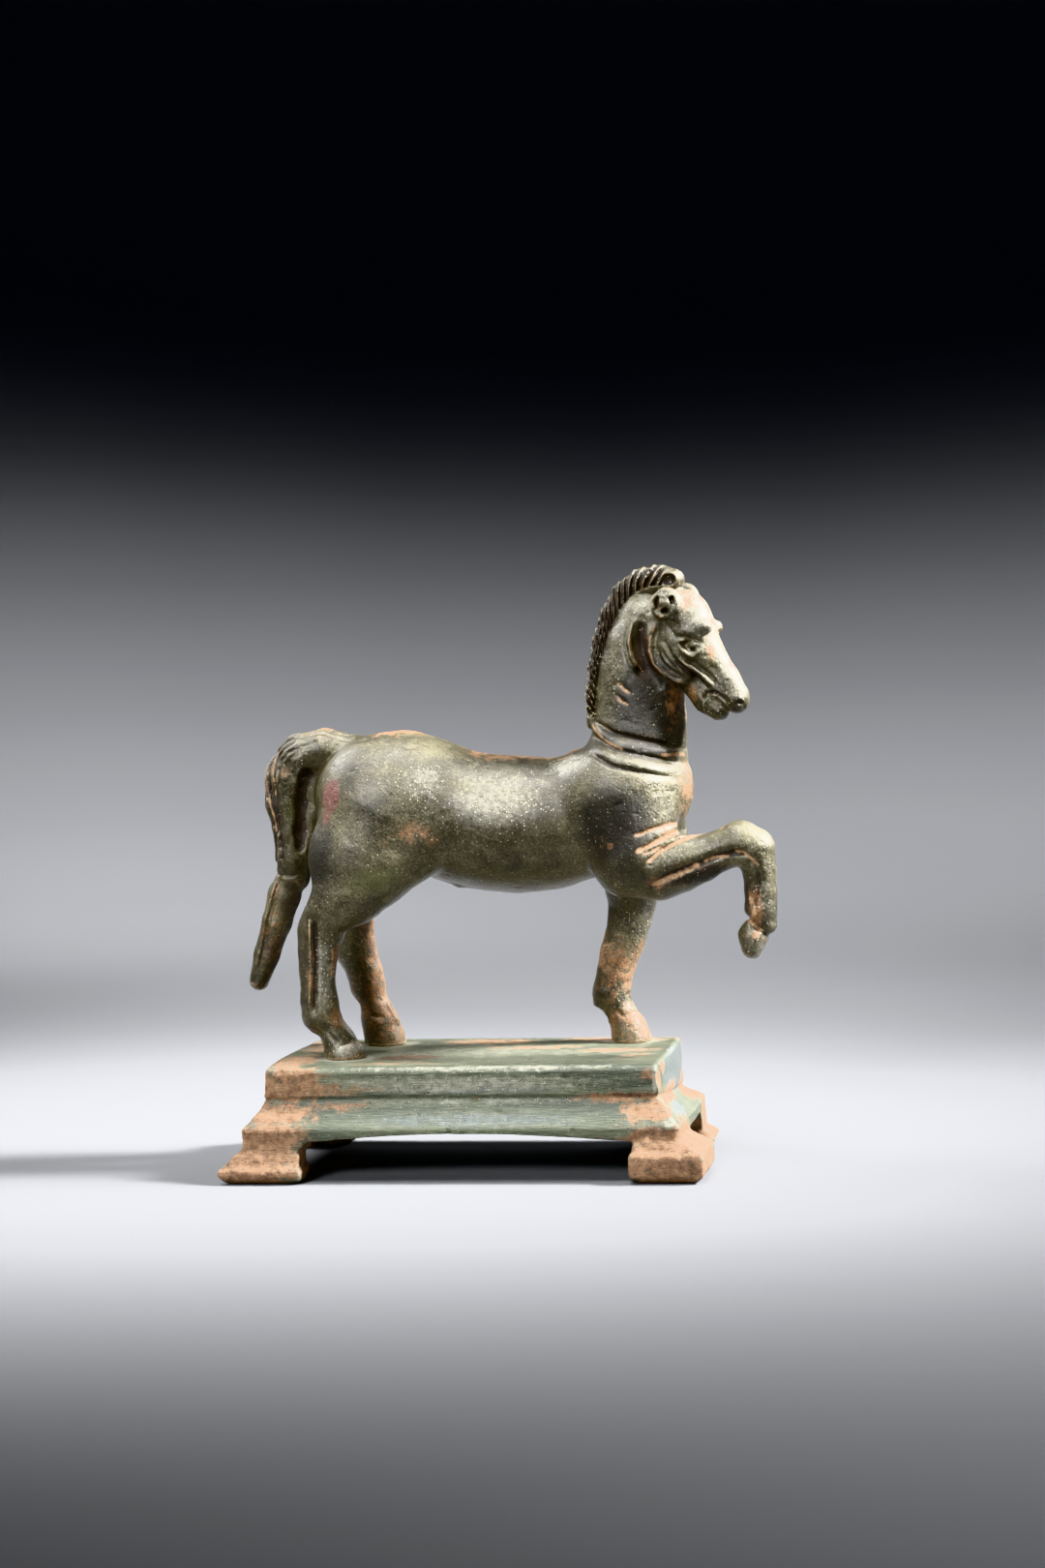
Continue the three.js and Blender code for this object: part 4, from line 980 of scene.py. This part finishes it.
PLINTH_PATCHES = {
    "earth": [
        ((-34, -19, 19), (9, 4, 4.2), 1.0), ((-24, -19, 17.6), (9, 3, 1.6), 0.62),
        ((-36, -20.5, 13.4), (9, 4, 2.8), 0.95), ((-24, -19, 14.6), (8, 3, 1.2), 0.6),
        ((32, -18.5, 15.8), (9, 3, 1.1), 0.9), ((37, -20, 13.3), (6, 4, 2.4), 1.0),
        ((36.6, -19, 20), (1.8, 2, 1.6), 0.8), ((-39, -21, 8.6), (10, 5, 3.4), 1.1),
        ((38.5, -21, 8.4), (7, 5, 2.6), 1.1), ((-40, -17, 4), (13, 14, 6), 1.2),
        ((40, -17, 4), (13, 14, 7.5), 1.2), ((-41, 19, 4), (12, 12, 6), 1.1),
        ((41, 21, 4), (12, 12, 7), 1.2), ((-38.5, 0, 14), (3, 20, 7), 0.8),
        ((40, 16, 12), (4, 10, 3.5), 1.1), ((39.5, -8, 15), (2.4, 12, 2), 0.9),
        ((38.6, -17, 18), (1.2, 1.6, 4), 0.9), ((38.6, -12, 20.6), (1.2, 3, 1.3), 0.9),
        ((-35, -10, 22), (5, 12, 2), 0.85), ((-34, 12, 22), (6, 12, 2), 0.7),
        ((28, 1, 22), (10, 3, 2), 0.75), ((10, 6, 22), (12, 3, 2), 0.65),
        ((26, 17, 22), (14, 5, 2), 0.7), ((-14, -14, 22), (12, 2.5, 2), 0.5),
        ((0, 15, 22), (12, 4, 2), 0.8), ((33, -6, 22), (4, 3, 2), 0.6),
    ],
    # Dark brown on the feet, the lower band and the top, and a painted shadow in the crease under
    # the upper block at the head end.
    "brown": [
        ((-40, -22.5, 1.4), (9, 3, 2.0), 0.7), ((42, -23, 3.2), (10, 2, 3.4), 0.75),
        ((38, -21.4, 9.6), (6.5, 2, 1.4), 0.8), ((-37, -21.4, 8.5), (8, 2, 2.4), 0.6),
        ((34, -18.2, 16.2), (7, 1.5, 0.8), 0.9), ((-13, -6, 22), (8, 5, 2), 1.0),
        ((-4, 10, 22), (7, 4, 2), 0.6), ((36.6, -19, 20), (1.6, 2, 1.5), 0.7),
    ],
    # Pale patina, and painted light on the top and on the step's slope, which face up into the
    # light.
    "pale": [
        ((-25, -6, 22), (8, 6, 2), 1.2), ((-21, 14, 22), (8, 5, 2), 1.0),
        ((29, 14, 22), (9, 5, 2), 1.1), ((0, 0, 22.4), (60, 30, 1.4), 0.7),
        ((5, -18, 21.6), (36, 1.4, 1.0), 0.8), ((0, -18.6, 18.6), (36, 1.5, 2.4), 0.85),
        ((5, -19.6, 15.4), (34, 2, 1.1), 0.8), ((41, -21, 11.4), (2.6, 1.4, 1.8), 0.8),
        ((38, -18.4, 19), (0.8, 1.2, 4), 0.9), ((44, -22, 6.6), (4, 2, 1.2), 0.5),
        ((31.5, -22, 6), (1.4, 2, 4), 0.8), ((20, -8, 22), (18, 6, 1), 0.6),
        ((-34, -22.8, 3.2), (4, 2, 1.6), 0.8),
    ],
    "green": [((2, -21.5, 9.6), (34, 2, 1.8), 0.9), ((6, -18.4, 18.6), (30, 1.5, 3), 0.4)],
    "slate": [
        ((39, 4, 18), (2, 20, 6), 1.0), ((41, -10, 12), (3, 7, 2.2), 1.0),
        ((4, -18.6, 17.4), (26, 1.5, 1.2), 0.7), ((2, -20.6, 12), (34, 2.4, 2.4), 0.7),
        ((46, -20, 2.5), (3, 4, 2.5), 0.7), ((24, -8, 22), (20, 6, 1), 0.5),
    ],
}
# Tan soil left in cuts and along ridges: half width, lowest and highest y, points on the side view.
TAN_LINES = [
    (0.6, -90, -3.2, [(35.2, 64.9), (37.7, 65.9), (41.5, 66.8), (43.4, 66.4)]),
    (0.75, -90, -3.2, [(35.4, 61.9), (38.7, 63.5), (42.0, 65.0), (44.6, 65.8)]),
    (0.6, -90, -3.2, [(37.2, 59.6), (39.4, 61.6), (42.4, 63.2), (44.9, 64.1)]),
    (0.4, -90, -3.2, [(36.4, 61.2), (38.4, 62.0), (40.3, 62.9)]),
    (0.6, -90, -4, [(44.7, 64.0), (48.3, 65.3), (51.5, 66.1)]),
    (0.8, -90, -6, [(38.2, 55.4), (40.6, 56.3), (43.9, 57.4), (46.6, 58.8)]),
    (0.5, -90, -6, [(48.2, 59.6), (49.8, 60.2), (52.5, 60.4)]),
    (0.45, -90, -5, [(54.1, 61.4), (55.6, 61.2), (57.2, 59.9), (58.4, 58.6)]),
    (0.8, -90, 0, [(56.6, 52.2), (57.4, 49.6), (56.6, 48.2)]),
    (0.5, -90, 0, [(55.4, 48.4), (56.8, 47.2), (58.3, 46.0)]),
    (0.16, -90, 0, [(-31.1, 50), (-31.3, 43.1)]),
    (0.3, -90, 0, [(-27.0, 44), (-27.4, 41), (-27.7, 38)]),
    (0.45, -90, MID, [(31.8, 94.3), (32.7, 93.4), (33.8, 92.5)]),
    (0.42, -90, MID, [(31.5, 91.9), (32.2, 90.9), (33.5, 90.2)]),
    (0.45, -90, 90, [(25.6, 86.5), (28.0, 84.2), (29.6, 83.0), (32.5, 81.6)]),
    (0.6, -90, 90, [(40.2, 80.1), (43.4, 80.2)]),
    (0.4, -90, 90, [(-41.9, 81.0), (-42.2, 77.8), (-41.4, 74.2), (-40.5, 70.7), (-40.2, 67.5)]),
    (0.3, -90, 90, [(-38.2, 84.2), (-39.6, 82.0), (-39.9, 79.0), (-39.5, 74.8)]),
    (0.2, -90, MID, [(34.2, 103.6), (34.5, 101.0), (35.0, 99.0), (36.4, 96.6)]),
    (0.3, -90, MID, [(39.2, 105.4), (38.2, 103), (38.0, 100.6), (38.8, 97.8), (41.0, 95.4)]),
]


# The near ear's broken cup, where the cuts get less of the dirt and painted shade.
BROKEN_EAR = [((36.6, -6, 109.4), (3.2, 3, 3.4), 0.8)]
RELIEF_ROUNDS = 12
RELIEF_FULL = 0.25  # millimetres in or out that count in full


def tan_strength(p):
    out = np.zeros(len(p), np.float32)
    for width, low, high, line in TAN_LINES:
        far = beside(p, line)[0]
        shown = (p[:, 1] > low) & (p[:, 1] < high)
        out = np.maximum(out, shown * np.exp(-((far / width) ** 2)))
    return out


def patch_strength(p, patches):
    out = np.zeros(len(p), np.float32)
    for middle, spread_by, strength in patches:
        q = (p - np.float32(middle)) / np.float32(spread_by)
        out = np.maximum(out, strength * np.exp(-((q * q).sum(1) ** 1.6)))
    return out


def relief(mesh):
    """How far each corner stands out from its neighbours, in millimetres: below 0 in a hollow."""
    start = in_mm(mesh).astype(np.float64)
    ends = np.empty(len(mesh.edges) * 2, np.int32)
    mesh.edges.foreach_get("vertices", ends)
    a, b = ends.reshape(-1, 2).T
    count = np.bincount(np.concatenate([a, b]), minlength=len(start))[:, None]
    smooth = start.copy()
    for _ in range(RELIEF_ROUNDS):
        total = np.zeros_like(smooth)
        for c in range(3):
            total[:, c] = np.bincount(a, smooth[b, c], len(start))
            total[:, c] += np.bincount(b, smooth[a, c], len(start))
        smooth = 0.4 * smooth + 0.6 * total / np.maximum(count, 1)
    normals = np.empty(len(mesh.vertices) * 3, np.float32)
    mesh.vertices.foreach_get("normal", normals)
    return ((start - smooth) * normals.reshape(-1, 3)).sum(1)


def mark_finishes_and_painted_light(piece, patches, recess):
    """Records where each finish, painted shade and painted highlight lies, as values on the piece's
    points that its material reads.
    """
    mesh = piece.data
    p = in_mm(mesh)
    record_mask(mesh, "recess", recess * (1 - patch_strength(p, BROKEN_EAR)))
    stand = relief(mesh)
    record_mask(mesh, "edge", np.clip(stand / RELIEF_FULL, 0, 1))
    record_mask(mesh, "hollow", np.clip(-stand / RELIEF_FULL, 0, 1))
    record_mask(mesh, "tan", tan_strength(p))
    for name, spots in patches.items():
        record_mask(mesh, name, patch_strength(p, spots))


# The finishes, with painted shade and painted highlights in their colour.
def linear(colour):
    """An sRGB hex colour as linear values."""
    parts = [int(colour[i:i + 2], 16) / 255 for i in (1, 3, 5)]
    return [c / 12.92 if c <= 0.04045 else ((c + 0.055) / 1.055) ** 2.4 for c in parts] + [1.0]


def node(tree, kind, inputs=(), out=0, **settings):
    """Adds a node with its settings, fills its inputs from values, colours or other sockets, and
    gives one of its outputs."""
    made = tree.nodes.new(kind)
    for key, value in settings.items():
        setattr(made, key, value)
    for key, value in dict(inputs).items():
        if isinstance(value, bpy.types.NodeSocket):
            tree.links.new(value, made.inputs[key])
        else:
            made.inputs[key].default_value = linear(value) if isinstance(value, str) else value
    return made.outputs[out] if len(made.outputs) else None


MATH, MIX, RANGE = "ShaderNodeMath", "ShaderNodeMix", "ShaderNodeMapRange"
NOISE, CELLS, MASK = "ShaderNodeTexNoise", "ShaderNodeTexVoronoi", "ShaderNodeAttribute"
TIMES, TIMES_PLUS = "MULTIPLY", "MULTIPLY_ADD"
# Sizes in the bronze, in millimetres: clouds, mottling, speckle, grit, and from cell to cell of the
# flecks and the pits.
CLOUD, MOTTLE, SPECKLE, GRIT, FLECK, PIT = 11, 1.8, 0.45, 1.3, 0.48, 1.1
FLECK_TONE = "#dcd6bf"
PIT_TONE = "#2a231b"


def bronze(name, patina, layers, streak, gloss, fleck_gain):
    """Old cast bronze under a brown-green patina. patina is its dark, middle and light tone, streak
    how its marks are drawn out along x, y and z. gloss is its least and greatest roughness, least
    and greatest metallic share, and how much coat a metallic share brings."""
    material = bpy.data.materials.new(name)
    material.use_nodes = True
    tree = material.node_tree
    tree.nodes.clear()
    place = node(tree, "ShaderNodeTexCoord", out="Object")
    drawn = node(tree, "ShaderNodeVectorMath", {0: place, 1: streak}, operation=TIMES)
    dragged = node(tree, MIX, {0: 0.25, 4: place, 5: drawn}, 1, data_type="VECTOR")

    # The bare patina: clouds, mottling and speckle, from dark to light.
    cloud = {"Vector": drawn, "Scale": 1 / (CLOUD * MM), "Detail": 2, "Roughness": 0.5}
    broad = node(tree, NOISE, cloud, "Fac")
    mottle = {"Vector": drawn, "Scale": 1 / (MOTTLE * MM), "Detail": 5, "Roughness": 0.7}
    middle = node(tree, NOISE, mottle, "Fac")
    speckle = {"Vector": drawn, "Scale": 1 / (SPECKLE * MM), "Detail": 3, "Roughness": 0.6}
    small = node(tree, NOISE, speckle, "Fac")
    mixed = node(tree, MATH, {0: middle, 1: 0.8, 2: broad}, operation=TIMES_PLUS)
    mixed = node(tree, MATH, {0: small, 1: 0.8, 2: mixed}, operation=TIMES_PLUS)
    colour = node(tree, "ShaderNodeValToRGB", {
        "Fac": node(tree, RANGE, {"Value": mixed, "From Min": 1.0, "From Max": 1.6})})
    ramp = colour.node.color_ramp
    ramp.elements[0].color = linear(patina[0])
    ramp.elements[1].color = linear(patina[2])
    ramp.elements.new(0.5).color = linear(patina[1])
    rough = node(tree, RANGE, {
        "Value": middle, "From Min": 0.3, "From Max": 0.7, "To Min": gloss[0], "To Max": gloss[1]})
    metal = node(tree, RANGE, {
        "Value": small, "From Min": 0.3, "From Max": 0.7, "To Min": gloss[2], "To Max": gloss[3]})

    # What lies on it, with painted shade and highlights, each layer ragged at its edges.
    grains = {"Vector": place, "Scale": 1 / (GRIT * MM), "Detail": 6, "Roughness": 0.75}
    grit = node(tree, NOISE, grains, "Fac")
    fine = node(tree, RANGE, {"Value": grit, "From Min": 0.34, "From Max": 0.64})
    for mask, size, gain, share, start, soft, tones, layer_rough, layer_metal, most in layers:
        held = node(tree, MASK, out="Fac", attribute_name=mask)
        ragged = {"Vector": dragged, "Scale": 1 / (size * MM), "Detail": 7, "Roughness": 0.72,
                  "Distortion": 0.3}
        blot = node(tree, NOISE, ragged, "Fac")
        blot = node(tree, MATH, {0: blot, 1: share}, operation=TIMES)
        amount = node(tree, MATH, {0: held, 1: gain, 2: blot}, operation=TIMES_PLUS)
        edge = {"Value": amount, "From Min": start, "From Max": start + soft, "To Max": most}
        cover = node(tree, RANGE, edge, interpolation_type="SMOOTHSTEP")
        tone = node(tree, MIX, {0: fine, 6: tones[0], 7: tones[1]}, 2, data_type="RGBA")
        colour = node(tree, MIX, {0: cover, 6: colour, 7: tone}, 2, data_type="RGBA")
        rough = node(tree, MIX, {0: cover, 2: rough, 3: layer_rough})
        metal = node(tree, MIX, {0: cover, 2: metal, 3: layer_metal})

    # Bright flecks about a fifth of a millimetre wide: pale mineral, and painted glints of bare
    # metal. They are thicker where the pale mask lies, on pale salts and on painted highlights.
    cells = node(tree, CELLS, {"Vector": place, "Scale": 1 / (FLECK * MM)}).node
    fleck = {"Value": cells.outputs["Distance"], "From Min": 0.36, "From Max": 0.16}
    fleck = node(tree, RANGE, fleck)
    pick = node(tree, "ShaderNodeSeparateColor", {0: cells.outputs["Color"]})
    pale = node(tree, MASK, out="Fac", attribute_name="pale")
    pick = node(tree, MATH, {0: pale, 1: 0.35, 2: pick}, operation=TIMES_PLUS)
    chosen = node(tree, RANGE, {"Value": pick, "From Min": 0.84, "From Max": 1.2})
    fleck = node(tree, MATH, {0: fleck, 1: chosen}, operation=TIMES)
    fleck = node(tree, MATH, {0: fleck, 1: fleck_gain}, operation=TIMES)
    colour = node(tree, MIX, {0: fleck, 6: colour, 7: FLECK_TONE}, 2, data_type="RGBA")

    # Pits, a quarter of a millimetre to half a millimetre wide, and a fine cast grain.
    pits = node(tree, CELLS, {"Vector": place, "Scale": 1 / (PIT * MM)}, "Distance")
    pit = node(tree, RANGE, {"Value": pits, "From Min": 0.08, "From Max": 0.24})
    height = node(tree, MATH, {0: small, 1: 0.5, 2: middle}, operation=TIMES_PLUS)
    height = node(tree, MATH, {0: pit, 1: 0.4, 2: height}, operation=TIMES_PLUS)
    height = node(tree, MATH, {0: grit, 1: 0.8, 2: height}, operation=TIMES_PLUS)
    grain_depth = {"Height": height, "Strength": 0.8, "Distance": 0.2 * MM}
    bump = node(tree, "ShaderNodeBump", grain_depth, "Normal")
    hole = node(tree, MATH, {0: 1.0, 1: pit}, operation="SUBTRACT")
    hole = node(tree, MATH, {0: hole, 1: 0.55}, operation=TIMES)
    colour = node(tree, MIX, {0: hole, 6: colour, 7: PIT_TONE}, 2, data_type="RGBA")

    coat = node(tree, MATH, {0: metal, 1: gloss[4]}, operation=TIMES)
    surface = node(tree, "ShaderNodeBsdfPrincipled", {
        "Base Color": colour, "Roughness": rough, "Metallic": metal, "Normal": bump,
        "Coat Weight": coat, "Coat Roughness": 0.4}, "BSDF")
    node(tree, "ShaderNodeOutputMaterial", {"Surface": surface})
    return material


# What lies on the bronze, from below to above: polish; green patina, with a painted reflection of
# the floor on the belly; dark patina, with painted shade on the shoulder, thigh, belly and neck and
# below the raised foreleg; pale salts, with painted highlights on the withers, rump and face; dark
# brown soil, with painted shade under the head and in the tail's trough; orange soil; soil in
# hollows; dirt and painted shade deep in the cuts; worn edges; tan soil; one purple stain. A row is
# the mask, the noise size in millimetres, how much mask and noise count, the level where it starts,
# how softly, its dark and light tone, roughness, metallic share and the most that it hides.
HORSE_LAYERS = [
    ("gloss", 4.0, 0.7, 0.6, 0.60, 0.5, ("#242117", "#454230"), 0.26, 0.5, 0.8),
    ("green", 4.0, 0.6, 0.6, 0.52, 0.5, ("#474b30", "#6a6c49"), 0.40, 0.35, 0.55),
    ("dark", 3.0, 0.8, 0.7, 0.62, 0.5, ("#0f0d07", "#221e14"), 0.66, 0.1, 0.92),
    ("pale", 1.0, 0.55, 0.9, 0.66, 0.5, ("#6c6b60", "#a9a798"), 0.52, 0.3, 0.7),
    ("brown", 3.0, 0.8, 0.6, 0.55, 0.5, ("#1c1611", "#3e3026"), 0.66, 0.05, 0.88),
    ("earth", 2.0, 0.6, 1.7, 1.10, 0.40, ("#563c28", "#946f4e"), 0.72, 0.05, 0.82),
    ("hollow", 1.2, 0.6, 0.9, 0.80, 0.4, ("#4e392a", "#7c5d43"), 0.75, 0.05, 0.6),
    ("recess", 0.8, 1.0, 0.5, 0.55, 0.35, ("#120f0c", "#33281f"), 0.65, 0.0, 0.92),
    ("edge", 0.8, 0.7, 0.7, 0.78, 0.4, ("#7c6a52", "#b59c7e"), 0.55, 0.1, 0.8),
    ("tan", 1.0, 0.7, 1.2, 0.92, 0.4, ("#7c5f44", "#b3926f"), 0.7, 0.0, 0.85),
    ("purple", 1.4, 0.9, 0.6, 0.6, 0.4, ("#4a2c2b", "#7a4f48"), 0.6, 0.2, 0.8),
]
# The plinth's layers, with the same columns: its pale layer holds painted light on the top and the
# step's slope, its brown layer a painted shadow under the upper block.
PLINTH_LAYERS = [
    ("green", 4.0, 0.5, 0.6, 0.55, 0.4, ("#4a5238", "#697051"), 0.5, 0.2, 0.6),
    ("slate", 2.0, 0.7, 0.6, 0.60, 0.3, ("#3c4243", "#5c6262"), 0.5, 0.3, 0.8),
    ("pale", 1.6, 0.6, 0.9, 0.72, 0.4, ("#75756a", "#a6a494"), 0.6, 0.1, 0.75),
    ("edge", 1.2, 0.5, 0.7, 0.70, 0.4, ("#727866", "#aaac98"), 0.55, 0.2, 0.8),
    ("earth", 2.2, 0.62, 1.7, 1.04, 0.34, ("#5f4633", "#957458"), 0.85, 0.0, 0.92),
    ("hollow", 1.4, 0.6, 0.6, 0.62, 0.4, ("#4c3829", "#7d5b40"), 0.8, 0.0, 0.7),
    ("brown", 1.0, 0.8, 0.9, 0.80, 0.4, ("#2c2019", "#5e422f"), 0.8, 0.05, 0.8),
]


# Camera, light and floor.
CAMERA_AT = (97.6, -452.6, 88.2)
CAMERA_YAW, CAMERA_PITCH, CAMERA_ROLL = (math.radians(a) for a in (10.78, 1.6, -2.27))
SENSOR = 36  # millimetres on the frame's long side
FRAME_TALL = 1620
FOCAL = 2400  # focal length in pixels of the photograph's height


def set_camera():
    """The camera stands where the photograph was taken from."""
    sy, cy = math.sin(CAMERA_YAW), math.cos(CAMERA_YAW)
    sp, cp = math.sin(CAMERA_PITCH), math.cos(CAMERA_PITCH)
    sr, cr = math.sin(CAMERA_ROLL), math.cos(CAMERA_ROLL)
    forward = np.array((-sy * cp, cy * cp, -sp))
    level = np.array((cy, sy, 0.0))
    above = np.cross(level, forward)
    right = cr * level + sr * above
    up = -sr * level + cr * above
    data = bpy.data.cameras.new("camera")
    data.sensor_width = SENSOR
    data.lens = FOCAL / FRAME_TALL * SENSOR
    data.clip_start = 0.01
    data.clip_end = 20
    camera = bpy.data.objects.new("camera", data)
    bpy.context.scene.collection.objects.link(camera)
    turn = Matrix((right, up, -forward)).transposed().to_4x4()
    camera.matrix_world = Matrix.Translation(ORIGIN + Vector(CAMERA_AT) * MM) @ turn
    bpy.context.scene.camera = camera


# Name, place and aim in metres, width, height, watts, spread in degrees.
MIDDLE = (0, 0, 0.07)
SOFT_BOXES = [
    ("overhead_box", (-0.10, -0.14, 0.74), (-0.02, 0.05, 0.05), 0.55, 0.28, 0.72, 24),
    ("floor_box", (-0.18, 0.20, 0.75), (-0.12, 0.34, 0.0), 0.6, 0.3, 1.5, 32),
    ("front_top_box", (-0.22, -0.60, 0.44), (0, 0.03, 0.08), 0.5, 0.30, 0.62, 24),
    ("right_box", (0.56, 0.06, 0.50), (0, 0.02, 0.07), 0.18, 0.18, 1.6, 22),
    ("back_right_box", (0.38, 0.60, 0.42), MIDDLE, 0.35, 0.35, 0.3, 60),
    ("left_box", (-0.50, 0.12, 0.55), MIDDLE, 0.3, 0.3, 0.5, 40),
    ("backdrop_box", (-0.1, 0.30, 0.50), (-0.1, 0.68, 0.02), 0.9, 0.22, 3.6, 66),
]
WORLD_TONE, WORLD_STRENGTH = "#b4b6ba", 0.015


def soft_light(name, at, target, width, height, power, spread):
    data = bpy.data.lights.new(name, "AREA")
    data.shape = "RECTANGLE"
    data.size, data.size_y = width, height
    data.energy = power
    data.spread = math.radians(spread)
    light = bpy.data.objects.new(name, data)
    bpy.context.scene.collection.objects.link(light)
    light.location = at
    light.rotation_euler = (Vector(target) - Vector(at)).to_track_quat("-Z", "Y").to_euler()
    light.visible_camera = False


def set_light():
    """Soft boxes over, before and beside the object, and a faint grey room."""
    for box in SOFT_BOXES:
        soft_light(*box)
    world = bpy.data.worlds.new("studio")
    bpy.context.scene.world = world
    world.use_nodes = True
    background = world.node_tree.nodes["Background"]
    background.inputs["Color"].default_value = linear(WORLD_TONE)
    background.inputs["Strength"].default_value = WORLD_STRENGTH
    bpy.context.scene.view_settings.view_transform = "Khronos PBR Neutral"


# The floor's sweep, in metres: how far it is flat, how high it ends, how wide it bends.
FLAT, HIGH, BEND = 0.5, 1.1, 0.6
BEND_STEPS = 8
FLOOR_TONE = "#656669"


def lay_floor():
    """A pale round sweep: flat under the object, curving up far away on every side."""
    profile = [(FLAT * 0.5, 0.0), (FLAT, 0.0)]
    for step in range(1, BEND_STEPS + 1):
        angle = step / BEND_STEPS * math.pi / 2
        profile.append((FLAT + BEND * math.sin(angle), BEND * (1 - math.cos(angle))))
    profile.append((FLAT + BEND, HIGH))
    around = 48
    points, faces = [], []
    for radius, z in profile:
        for step in range(around):
            angle = 2 * math.pi * step / around
            points.append((radius * math.cos(angle), radius * math.sin(angle), z))
    points.append((0.0, 0.0, 0.0))
    for ring in range(len(profile) - 1):
        for step in range(around):
            a, b = ring * around + step, ring * around + (step + 1) % around
            faces.append((a, a + around, b + around, b))
    faces += [(len(points) - 1, step, (step + 1) % around) for step in range(around)]
    mesh = bpy.data.meshes.new("studio_floor")
    mesh.from_pydata(points, [], faces)
    floor = bpy.data.objects.new("studio_floor", mesh)
    bpy.context.scene.collection.objects.link(floor)
    mesh.shade_smooth()
    # Matt paper: pale and even, with no shine.
    material = bpy.data.materials.new("pale_matt_paper")
    material.use_nodes = True
    shader = material.node_tree.nodes["Principled BSDF"]
    shader.inputs["Base Color"].default_value = linear(FLOOR_TONE)
    shader.inputs["Roughness"].default_value = 0.75
    mesh.materials.append(material)


set_camera()
set_light()
lay_floor()

horse = cast_horse()
# How deep each point lies in a cut: the material paints dirt and shade there, near black.
buried = -form(in_mm(horse.data), fine=False)
mark_finishes_and_painted_light(horse, HORSE_PATCHES, gate(buried, 0.15, 0.7))
# The horse's skin: a satin brown-green bronze, speckled pale, with orange soil in cuts and on legs,
# and painted shade, highlights and a floor reflection in its colour.
horse.data.materials.append(bronze(
    "patinated_cast_bronze", ("#29261b", "#433f2f", "#625d47"), HORSE_LAYERS, (1, 1, 1),
    (0.40, 0.52, 0.55, 0.35, 0.9), 0.9))
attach(horse, "root")
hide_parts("horse")

plinth = cast_plinth()
mark_finishes_and_painted_light(plinth, PLINTH_PATCHES, np.zeros(len(plinth.data.vertices)))
# The plinth's skin: greener and duller, drawn along its length by the file, crusted at the feet,
# with painted light on its top and step and a painted shadow under the upper block.
plinth.data.materials.append(bronze(
    "filed_patinated_bronze", ("#2d3229", "#454a3b", "#606350"), PLINTH_LAYERS, (0.16, 2.2, 2.2),
    (0.40, 0.56, 0.4, 0.25, 0.5), 0.35))
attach(plinth, "root")
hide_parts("plinth")
